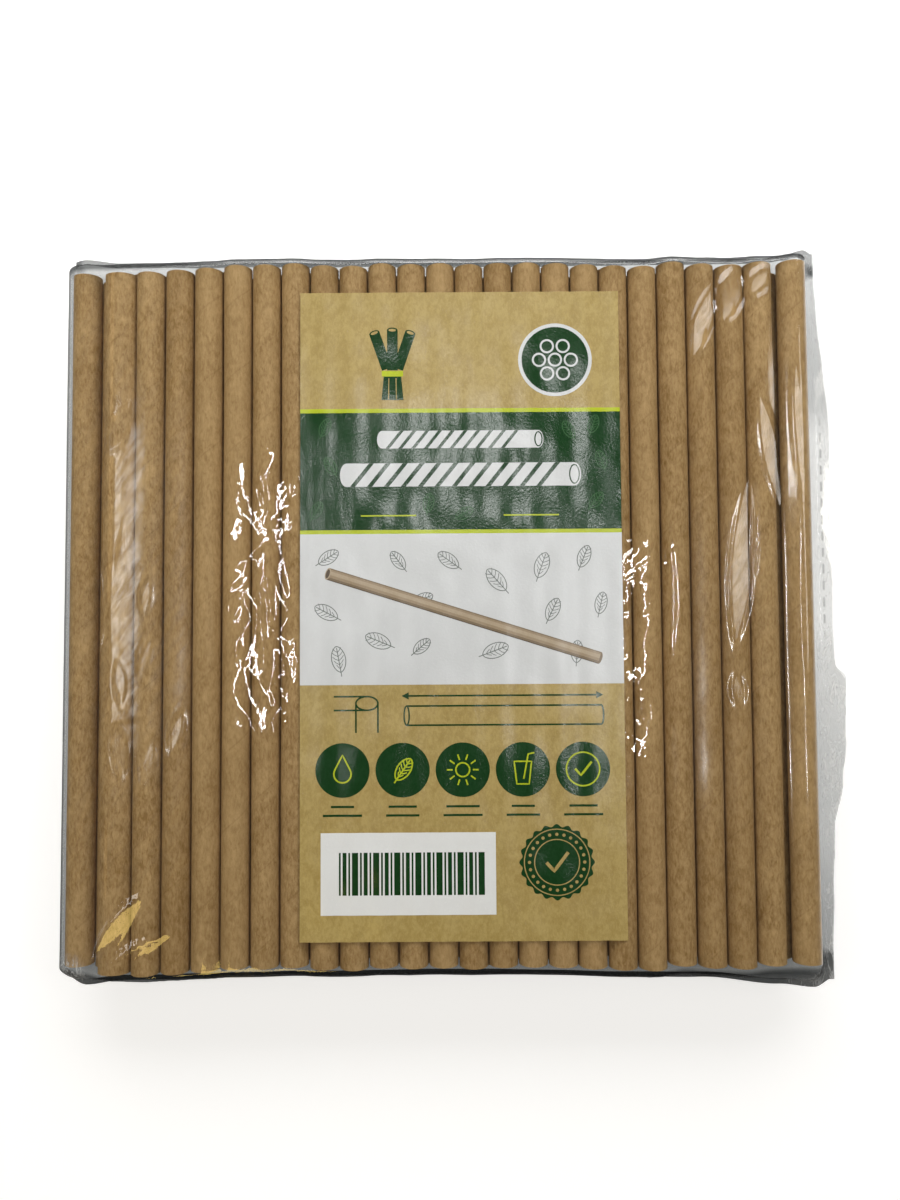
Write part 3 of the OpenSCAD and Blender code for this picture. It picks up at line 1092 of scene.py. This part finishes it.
class Ink(Enum):
    """The colours of the label and its print."""

    KRAFT = PrintedPaper("label_kraft", (0.46, 0.345, 0.125), (0.345, 0.245, 0.075), 0.9)
    GREEN = PrintedPaper("label_green", (0.006, 0.04, 0.008), (0.01, 0.055, 0.014), 0.6, 0.17)
    LIME = PrintedPaper("label_lime", (0.46, 0.54, 0.012), (0.4, 0.48, 0.012))
    WHITE = PrintedPaper("label_white", (0.65, 0.668, 0.675), (0.6, 0.614, 0.625), 0.4)
    BRIGHT = PrintedPaper("label_bright", (0.8, 0.815, 0.81), (0.755, 0.765, 0.765), 0.4)
    GREY = PrintedPaper("label_grey", (0.13, 0.15, 0.14), (0.2, 0.22, 0.21))
    FAINT = PrintedPaper("label_faint", (0.03, 0.11, 0.03), (0.022, 0.09, 0.025))
    PALE_STRAW = PrintedPaper("label_pale_straw", (0.44, 0.35, 0.24), (0.36, 0.28, 0.18))
    STRAW = PrintedPaper("label_straw", (0.33, 0.25, 0.155), (0.27, 0.195, 0.115))
    DEEP_STRAW = PrintedPaper("label_deep_straw", (0.2, 0.145, 0.085), (0.16, 0.11, 0.06))
    DARK_STRAW = PrintedPaper("label_dark_straw", (0.09, 0.06, 0.032), (0.07, 0.045, 0.024))


def circle(x: float, y: float, wide: float, high: float | None = None, steps: int = 48) -> list[Point]:
    """Returns the outline of a circle or of an ellipse."""
    tall = wide if high is None else high
    turns = (2 * math.pi * k / steps for k in range(steps))
    return [(x + wide * math.cos(t), y + tall * math.sin(t)) for t in turns]


def turned(
    points: Iterable[Point], x: float, y: float, angle: float = 0.0, size: float = 1.0,
) -> list[Point]:
    """Returns points turned by an angle in degrees, scaled and moved to a place."""
    cos, sin = math.cos(math.radians(angle)) * size, math.sin(math.radians(angle)) * size
    return [(x + a * cos - b * sin, y + a * sin + b * cos) for a, b in points]


def split(points: Sequence[Point], longest: float = 1.0) -> list[Point]:
    """Returns a line with points added so that no step is longer than a limit."""
    line = [points[0]]
    for (x0, y0), (x1, y1) in zip(points, points[1:]):
        count = max(1, math.ceil(math.dist((x0, y0), (x1, y1)) / longest))
        shares = (k / count for k in range(1, count + 1))
        line += [(lerp(x0, x1, share), lerp(y0, y1, share)) for share in shares]
    return line


@dataclass
class Print:
    """Flat shapes of one ink, in millimetres from the label's lower left corner."""

    name: str
    ink: Ink
    level: int = 0
    shapes: list[list[Point]] = field(default_factory=list)

    def fill(self, outline: Sequence[Point]) -> None:
        """Adds an area inside an outline."""
        self.shapes.append(list(outline))

    def bar(self, left: float, low: float, right: float, high: float) -> None:
        """Adds an upright rectangle."""
        self.fill([(left, low), (right, low), (right, high), (left, high)])

    def line(self, points: Sequence[Point], width: float = 0.35, closed: bool = False) -> None:
        """Adds a drawn line of an even width."""
        path = split([*points, points[0]] if closed else points)
        sides: list[tuple[Point, Point]] = []
        for k, (x, y) in enumerate(path):
            before = path[k - 1] if k else (path[-2] if closed else path[0])
            after = path[k + 1] if k + 1 < len(path) else (path[1] if closed else path[-1])
            dx, dy = after[0] - before[0], after[1] - before[1]
            reach = width / 2 / max(1e-9, math.hypot(dx, dy))
            sides.append(((x - dy * reach, y + dx * reach), (x + dy * reach, y - dx * reach)))
        for (a, b), (c, d) in zip(sides, sides[1:]):
            self.fill([a, b, d, c])


@dataclass
class FrontLabel:
    """The paper label on the film, with its printed bands and drawings."""

    pitch: float = 8.3
    dip: float = 0.12
    thick: float = 0.14
    cells_wide: int = 130
    cells_high: int = 90
    ink_lift: float = 0.02
    ink_thick: float = 0.012
    ink_columns: int = 90
    ink_rows: int = 46
    ink_row: float = 4.0
    first_disc: float = 11.8
    disc_pitch: float = 16.62
    disc_size: float = 7.5
    disc_line: float = 46.7
    badge: Point = (71.9, 161.4)
    rosette: Point = (70.8, 21.3)
    bundle: Point = (26.0, 154.6)
    straw_start: Point = (7.8, 101.2)
    straw_end: Point = (83.3, 77.3)
    straw_turn: float = -17.55
    straw_width: float = 3.4
    thin: float = 0.42
    medium: float = 0.48
    bands: tuple[tuple[float, Ink], ...] = (
        (0.0, Ink.KRAFT), (70.2, Ink.WHITE), (112.3, Ink.LIME),
        (113.4, Ink.GREEN), (146.55, Ink.LIME), (147.7, Ink.KRAFT),
    )

    def __post_init__(self) -> None:
        """Reads the label's box from the frame."""
        low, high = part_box("front_label")
        self.low, self.high = low / MM, high / MM
        self.top = self.high.z
        self.middle_straw = StrawPlace.of("straw_front_13").x
        self.papers = {ink: ink.value.build() for ink in Ink}

    def discs(self) -> list[Point]:
        """Returns the middles of the five discs."""
        return [(self.first_disc + self.disc_pitch * k, self.disc_line) for k in range(5)]

    def corner_place(self, x: float, y: float) -> Vector:
        """Returns a place measured from the label's corner, flat and in metres."""
        return Vector((self.low.x + x, self.low.y + y, 0)) * MM

    def surface(self, x: float, y: float) -> float:
        """Returns the label's height at a place."""
        ridge = math.sin(math.pi * (x - self.middle_straw) / self.pitch) ** 2
        calm = 0.05 * waver(x * 0.05, y * 0.04, 1.0)
        return self.top - self.dip * ridge + calm

    def _sheet(self) -> None:
        """Makes the paper with its bands."""
        wide, high = self.high.x - self.low.x, self.high.y - self.low.y
        deselect()
        bpy.ops.mesh.primitive_plane_add(size=1)
        sheet = settle(bpy.context.object, "label_sheet")
        mesh = bmesh.new()
        mesh.from_mesh(sheet.data)
        for vertex in mesh.verts:
            vertex.co.x = (self.low.x + (vertex.co.x + 0.5) * wide) * MM
            vertex.co.y = (self.low.y + (vertex.co.y + 0.5) * high) * MM
        cuts = [(0.0, start) for start, _ in self.bands[1:]]
        cuts += [(0.0, high * k / self.cells_high) for k in range(1, self.cells_high)]
        cuts += [(wide * k / self.cells_wide, 0.0) for k in range(1, self.cells_wide)]
        self._cut(mesh, cuts)
        for face in mesh.faces:
            place = face.calc_center_median().y / MM - self.low.y
            face.material_index = max(k for k, (start, _) in enumerate(self.bands) if start <= place)
            face.smooth = True
        self._drape(mesh, sheet, 0.0, self.thick)
        for _, ink in self.bands:
            sheet.data.materials.append(self.papers[ink])
        attach(sheet, "label_paper", "front_label")

    def _cut(self, mesh: bmesh.types.BMesh, cuts: Iterable[Point]) -> None:
        """Cuts a flat mesh along straight lines at distances from the label's corner."""
        for x, y in cuts:
            bmesh.ops.bisect_plane(
                mesh, geom=[*mesh.verts, *mesh.edges, *mesh.faces],
                plane_co=self.corner_place(x, y),
                plane_no=(1, 0, 0) if x else (0, 1, 0),
            )

    def _drape(self, mesh: bmesh.types.BMesh, piece: bpy.types.Object, lift: float, thick: float) -> None:
        """Lays a flat mesh on the label's surface and gives it its thickness."""
        for vertex in mesh.verts:
            vertex.co.z = (self.surface(vertex.co.x / MM, vertex.co.y / MM) + lift) * MM
        mesh.to_mesh(piece.data)
        mesh.free()
        solid = piece.modifiers.new("thickness", "SOLIDIFY")
        solid.thickness = thick * MM
        solid.offset = -1
        pick(piece)
        bpy.ops.object.modifier_apply(modifier="thickness")
        smooth_faces(piece)

    def _lay(self, art: Print) -> None:
        """Makes the mesh of one print and lays it on the label."""
        data = bpy.data.meshes.new(art.name)
        piece = bpy.data.objects.new(art.name, data)
        bpy.context.collection.objects.link(piece)
        mesh = bmesh.new()
        for shape in art.shapes:
            mesh.faces.new([mesh.verts.new(self.corner_place(*point)) for point in shape])
        bmesh.ops.recalc_face_normals(mesh, faces=mesh.faces)
        for face in mesh.faces:
            if face.normal.z < 0:
                face.normal_flip()
        large = [face for face in mesh.faces if len(face.verts) > 4]
        bmesh.ops.triangulate(mesh, faces=large)
        cuts = [(k, 0.0) for k in range(1, self.ink_columns)]
        self._cut(mesh, cuts + [(0.0, self.ink_row * k) for k in range(1, self.ink_rows)])
        bmesh.ops.remove_doubles(mesh, verts=mesh.verts, dist=0.002 * MM)
        for face in mesh.faces:
            face.smooth = True
        self._drape(mesh, piece, self.ink_lift * (1 + art.level), self.ink_thick)
        data.materials.append(self.papers[art.ink])
        attach(piece, "label_paper")

    def _leaf(self, art: Print, x: float, y: float, angle: float, size: float, width: float) -> None:
        """Draws a plain leaf in outline with its veins."""
        turns = [math.pi * k / 14 for k in range(15)]
        half = [(math.cos(t) * 3, 1.62 * math.sin(t) ** 1.25) for t in turns]
        mirrored = [(a, -b) for a, b in reversed(half[:-1])]
        art.line(turned(half + mirrored[:-1], x, y, angle, size), width, closed=True)
        art.line(turned([(-4, 0), (2.7, 0)], x, y, angle, size), width)
        for k in range(5):
            foot = -2.2 + k * 0.95
            reach = 1.3 * math.sin(math.pi * (k + 1.3) / 7.2)
            for side in (-1, 1):
                vein = [(foot, 0), (foot + 0.5, side * reach * 0.6), (foot + 1.05, side * reach)]
                art.line(turned(vein, x, y, angle, size), width * 0.75)

    def _leaves(self, art: Print, box: Sequence[float], count: int, width: float, seed: int) -> None:
        """Scatters leaves over a part of the label, none on another."""
        draw = random.Random(seed)
        placed: list[Point] = []
        while len(placed) < count:
            spot = draw.uniform(box[0], box[2]), draw.uniform(box[1], box[3])
            if all(math.dist(spot, other) > 12 for other in placed):
                placed.append(spot)
                self._leaf(art, *spot, draw.uniform(20, 160), draw.uniform(0.95, 1.3), width)

    def _title(self, straw: Print, stripe: Print) -> None:
        """Draws two striped straws where the title stands."""
        for left, low, right, thick in ((23.0, 136.4, 67.0, 5.0), (13.0, 125.6, 77.0, 6.6)):
            middle, round_end = low + thick / 2, thick * 0.28
            ends = [math.pi * k / 12 for k in range(13)]
            outline = [(left - round_end * math.sin(t), middle + thick / 2 * math.cos(t)) for t in ends]
            outline += [(right + round_end * math.sin(t), middle - thick / 2 * math.cos(t)) for t in ends]
            straw.fill(outline)
            slant, pitch = thick * 0.8, thick * 0.72
            for k in range(int((right - left - slant - 1) / pitch)):
                foot = left + 1.0 + k * pitch
                band = [(foot, low + 0.02), (foot + pitch * 0.3, low + 0.02)]
                band += [(x + slant, low + thick - 0.02) for x, _ in reversed(band)]
                stripe.fill(band)
            stripe.line(circle(right, middle, round_end * 0.72, thick * 0.4, 32), 0.35, closed=True)

    def _bundle(self, side: Print, middle: Print, end: Print, tie: Print) -> None:
        """Draws three tied straws in the bare upper corner."""
        for turn, straw, foot in ((-19.0, side, 4.7), (0.0, middle, 4.1), (19.0, side, 4.7)):
            arc = circle(0, 15.6, 1.5, 0.75, 24)[:13]
            straw.fill(turned([(-1.5, foot), (1.5, foot), *arc], *self.bundle, turn))
            end.fill(turned(circle(0, 15.6, 1.05, 0.4, 24), *self.bundle, turn))
        side.fill([(23.6, 157.6), (22.9, 150.2), (29.1, 150.2), (28.4, 157.6)])
        tie.bar(23.0, 156.9, 29.0, 158.5)
        for x in (25.0, 27.0):
            end.line([(x, 156.4), (x + (x - 26) * 0.1, 150.4)], 0.25)

    def _captions(self, art: Print) -> None:
        """Draws plain rules under the discs."""
        for k, (middle, _) in enumerate(self.discs()):
            for low, half in ((36.4, 3.2 + 0.7 * (k % 3)), (34.0, 5.4 - 0.8 * (k % 2))):
                art.bar(middle - half, low, middle + half, low + 0.62)

    def _picture(self) -> list[Print]:
        """Draws the large straw across the white panel, in strips from its dark to its lit side."""
        edges = (
            (0.0, 0.07, Ink.DARK_STRAW), (0.07, 0.24, Ink.DEEP_STRAW), (0.24, 0.46, Ink.STRAW),
            (0.46, 0.76, Ink.PALE_STRAW), (0.76, 0.92, Ink.STRAW), (0.92, 1.0, Ink.DEEP_STRAW),
        )
        made = []
        for k, (low, high, ink) in enumerate(edges):
            strip = Print(f"print_straw_{k + 1}", ink, 1)
            strip.fill(self._slanting(low, high))
            made.append(strip)
        end = Print("print_straw_end", Ink.PALE_STRAW, 2)
        hole = Print("print_straw_hole", Ink.DARK_STRAW, 3)
        rim = circle(0, 0, 0.75, 1.7, 32)
        end.fill(turned(rim, *self.straw_start, self.straw_turn))
        hole.fill(turned(circle(-0.03, 0, 0.5, 1.32, 32), *self.straw_start, self.straw_turn))
        far = Print("print_straw_far", Ink.DEEP_STRAW, 0)
        far.fill(turned(rim, *self.straw_end, self.straw_turn))
        return [*made, end, hole, far]

    def _slanting(self, low: float, high: float) -> list[Point]:
        """Returns a lengthwise strip of the large straw, between two shares of its width."""
        start, end = self.straw_start, self.straw_end
        length = math.dist(start, end)
        angle = math.degrees(math.atan2(end[1] - start[1], end[0] - start[0]))
        low, high = (low - 0.5) * self.straw_width, (high - 0.5) * self.straw_width
        return turned([(0, low), (length, low), (length, high), (0, high)], *start, angle)

    def _sizes(self, art: Print) -> None:
        """Draws a straw's end and its side view with the dimension lines."""
        art.line(circle(18.6, 65.1, 3.05, 1.9), self.medium, closed=True)
        for x in (15.55, 21.65):
            art.line([(x, 65.1), (x, 57.0)], self.medium)
        for y in (67.0, 63.2):
            art.line([(9.4, y), (18.6, y)], self.medium)
        art.line([(29.2, 67.1), (83.2, 67.1)], self.medium)
        art.fill([(28.2, 67.1), (30.2, 66.1), (30.2, 68.1)])
        art.fill([(84.2, 67.1), (82.2, 68.1), (82.2, 66.1)])
        art.line(circle(29.6, 61.65, 0.7, 2.65, 32), self.thin, closed=True)
        turns = [t * math.pi / 8 for t in range(-4, 5)]
        bow = [(83.6 + 0.6 * math.cos(t), 61.65 + 2.65 * math.sin(t)) for t in turns]
        art.line([(29.6, 59.0), *bow, (29.6, 64.3)], self.medium)

    def _signs(self, art: Print) -> None:
        """Draws a plain sign in each of the five discs."""
        water, leaf, sun, cup, tick = self.discs()
        turns = [math.radians(a) for a in range(150, 391, 15)]
        drop = [(0.0, 4.2), *((2.4 * math.cos(t), -1.0 + 2.4 * math.sin(t)) for t in turns)]
        art.line(turned(drop, *water), self.thin, closed=True)
        self._leaf(art, leaf[0] + 0.3, leaf[1] + 0.2, 55, 1.15, self.thin)
        art.line(circle(*sun, 1.9), self.thin, closed=True)
        for k in range(10):
            art.line(turned([(2.8, 0), (4.4, 0)], *sun, 36 * k), self.thin)
        sides = [(-2.4, 2.2), (-1.7, -4.0), (1.7, -4.0), (2.4, 2.2)]
        art.line(turned(sides, *cup), self.thin, closed=True)
        art.line(turned([(0.2, -2.6), (1.5, 4.2), (3.2, 4.6)], *cup), self.thin)
        art.line(circle(*tick, 4.6), self.thin, closed=True)
        art.line(turned([(-2.2, 0.1), (-0.6, -1.7), (2.4, 2.0)], *tick), self.thin * 1.5)

    def _badge(self, rim: Print, disc: Print, ends: Print) -> None:
        """Draws the round badge with the section of seven straws."""
        x, y = self.badge
        rim.fill(circle(x, y, 10.4, steps=72))
        disc.fill(circle(x, y, 9.4, steps=72))
        ring = [at_angle(4.5, k * math.pi / 3) for k in range(6)]
        for dx, dy in [(0.0, 0.0), *ring]:
            ends.line(circle(x + dx, y + dy, 1.75, steps=28), 0.55, closed=True)

    def _bars(self, paper: Print, art: Print) -> None:
        """Draws a field of upright bars that hold no code."""
        paper.bar(5.8, 7.2, 54.0, 29.6)
        at = 10.8
        for width in (0.5, 1.1, 0.5, 1.7) * 7:
            art.bar(at, 12.6, at + width, 24.2)
            at += width + 0.5

    def _rosette(self, disc: Print, art: Print) -> None:
        """Draws a disc with a wavy edge, two rings, a ring of dots and a tick."""
        turns = [2 * math.pi * k / 160 for k in range(160)]
        edge = [at_angle(10.0 + 0.4 * math.cos(20 * t), t) for t in turns]
        disc.fill(turned(edge, *self.rosette))
        for reach in (9.0, 6.2):
            art.line(circle(*self.rosette, reach, steps=60), 0.28, closed=True)
        for k in range(24):
            art.fill(turned(circle(7.6, 0, 0.45, steps=12), *self.rosette, 15 * k))
        art.line([(67.9, 21.2), (70.0, 18.9), (73.9, 24.0)], 0.9)

    def build(self) -> None:
        """Makes the label and its print."""
        self._sheet()
        green = Print("print_green", Ink.GREEN)
        white = Print("print_white", Ink.WHITE)
        on_white = Print("print_on_white", Ink.GREEN, 1)
        on_green = Print("print_on_green", Ink.KRAFT, 1)
        lime = Print("print_lime", Ink.LIME, 1)
        opening = Print("print_openings", Ink.KRAFT, 2)
        grey, faint = Print("print_leaves", Ink.GREY), Print("print_faint_leaves", Ink.FAINT)
        self._title(white, on_white)
        self._bundle(green, on_white, opening, lime)
        self._captions(green)
        self._sizes(green)
        ends = Print("print_badge", Ink.WHITE, 2)
        self._badge(white, on_white, ends)
        for disc in self.discs():
            green.fill(circle(*disc, self.disc_size, steps=60))
        self._signs(lime)
        lime.line([(17.0, 117.4), (32.5, 117.4)], 0.4)
        lime.line([(57.0, 117.4), (72.5, 117.4)], 0.4)
        field_paper = Print("print_field", Ink.BRIGHT)
        self._bars(field_paper, on_white)
        self._rosette(green, on_green)
        self._leaves(grey, (5, 75.5, 85, 107.5), 15, 0.24, 5)
        for x, y, angle in (
            (82.5, 143.0, 70), (84.5, 133.0, 110), (83.0, 121.5, 50), (4.6, 119.0, 60),
            (8.5, 131.5, 120), (36.0, 121.0, 80), (75.5, 141.5, 120), (7.0, 142.5, 65), (46.0, 118.0, 30),
        ):
            self._leaf(faint, x, y, angle, 0.9, 0.26)
        prints = (green, white, field_paper, on_white, on_green, opening, lime, grey, faint, ends)
        for art in (*prints, *self._picture()):
            self._lay(art)


@dataclass
class Studio:
    """The floor, the light and the camera."""

    ceiling: float = 1.3
    lens: float = 27.0
    camera_x: float = -1.355
    camera_y: float = -9.125
    camera_z: float = 280.06
    tilt: float = 2.761
    roll: float = -0.379

    def _floor(self) -> None:
        """Makes a wide pale floor that shows white and keeps the shadows."""
        deselect()
        bpy.ops.mesh.primitive_plane_add(size=30, location=(0, 0, -0.0004))
        floor = settle(bpy.context.object, "studio_floor")
        g = Graph("studio_floor_paint")
        path = g.node("ShaderNodeLightPath")
        seen = g.math("MAXIMUM", g.out(path, "Is Camera Ray"), g.out(path, "Is Glossy Ray"))
        seen = g.math("MAXIMUM", seen, g.out(path, "Is Transmission Ray"))
        paint = g.shader("BsdfDiffuse", Color=(0.8, 0.8, 0.8))
        glow = g.shader("Emission", Color=WHITE_LIGHT, Strength=0.5)
        shown = g.out(g.node("ShaderNodeAddShader", None, {0: paint, 1: glow}))
        floor.data.materials.append(g.finish(g.blend(seen, paint, shown)))

    def _world(self) -> None:
        """Makes a room with pale walls and a dim ceiling."""
        world = bpy.data.worlds.new("studio_room")
        bpy.context.scene.world = world
        world.use_nodes = True
        tree = world.node_tree
        tree.nodes.clear()
        place = tree.nodes.new("ShaderNodeTexCoord")
        parts = tree.nodes.new("ShaderNodeSeparateXYZ")
        height = tree.nodes.new("ShaderNodeMapRange")
        height.interpolation_type = "SMOOTHSTEP"
        limits = {"From Min": 0.15, "From Max": 0.75, "To Min": 0.28, "To Max": 0.05}
        for limit, value in limits.items():
            height.inputs[limit].default_value = value
        glow = tree.nodes.new("ShaderNodeBackground")
        out = tree.nodes.new("ShaderNodeOutputWorld")
        tree.links.new(place.outputs["Generated"], parts.inputs[0])
        tree.links.new(parts.outputs["Z"], height.inputs["Value"])
        tree.links.new(height.outputs["Result"], glow.inputs["Strength"])
        tree.links.new(glow.outputs[0], out.inputs[0])

    def _lamp(
        self, name: str, size: Point, place: Sequence[float], aim: Sequence[float],
        power: float, colour: Colour = WHITE_LIGHT,
    ) -> None:
        """Adds a rectangular soft lamp.

        Args:
            name: The lamp's name.
            size: Its width and height in metres.
            place: Where it hangs, in metres.
            aim: The point that it faces, in metres.
            power: Its power in watts.
            colour: The colour of its light.
        """
        data = bpy.data.lights.new(name, "AREA")
        data.shape = "RECTANGLE"
        data.size, data.size_y = size
        data.energy = power
        data.color = colour
        lamp = bpy.data.objects.new(name, data)
        bpy.context.collection.objects.link(lamp)
        way = Vector(aim) - Vector(place)
        lamp.matrix_world = Matrix.Translation(place) @ way.to_track_quat("-Z", "Y").to_matrix().to_4x4()

    def _tubes(self, side: str, x: float, width: float, parts: Iterable[Sequence[float]]) -> None:
        """Adds the parts of a ceiling tube, each by its place along Y, its length and its power."""
        for k, (y, length, power) in enumerate(parts, 1):
            name = f"lamp_tube_{side}_{k}"
            self._lamp(name, (width, length), (x, y, self.ceiling), (x, y, 0), power)

    def _camera(self) -> None:
        """Adds the camera, nearly straight above the pack."""
        data = bpy.data.cameras.new("camera")
        data.lens = self.lens
        data.sensor_width = 36
        data.sensor_fit = "AUTO"
        data.clip_start = 0.01
        camera = bpy.data.objects.new("camera", data)
        camera.location = Vector((self.camera_x, self.camera_y, self.camera_z)) * MM
        camera.rotation_euler = (math.radians(self.tilt), 0, math.radians(self.roll))
        bpy.context.collection.objects.link(camera)
        bpy.context.scene.camera = camera

    def build(self) -> None:
        """Sets up the whole studio."""
        self._floor()
        self._world()
        self._tubes("left", -0.312, 0.012, ((0.235, 0.15, 0.34), (0.05, 0.2, 0.46), (-0.115, 0.1, 0.23)))
        self._tubes("right", 0.311, 0.017, ((0.08, 0.17, 0.78), (-0.07, 0.09, 0.42), (-0.2, 0.07, 0.32)))
        pack, cream, amber = (0, 0, 0.02), (1.0, 0.95, 0.87), (1.0, 0.72, 0.2)
        self._lamp("lamp_ceiling", (0.22, 0.14), (0.025, 0.32, self.ceiling), pack, 1.35)
        self._lamp("lamp_top", (0.7, 0.25), (0.03, 0.4, 0.34), pack, 2.4)
        self._lamp("lamp_left", (0.36, 0.16), (-0.55, 0.06, 0.72), pack, 0.85, cream)
        self._lamp("lamp_right", (0.38, 0.15), (0.56, 0.15, 0.72), pack, 0.85, cream)
        corner = (-0.095, -0.085, 0.03)
        self._lamp("lamp_warm", (0.15, 0.15), (-0.205, -0.43, 0.7), corner, 0.36, amber)
        self._camera()
        bpy.context.scene.view_settings.view_transform = "Standard"


def main() -> None:
    """Builds the pack piece by piece, then the studio round it."""
    logging.basicConfig(level=logging.INFO, format="%(name)s: %(message)s")
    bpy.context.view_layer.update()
    Studio().build()
    straws = StrawLayers()
    straws.build()
    FilmSleeve(straws).build()
    FrontLabel().build()
    bpy.context.view_layer.update()
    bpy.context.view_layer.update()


if __name__ == "__main__":
    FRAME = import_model()
    main()
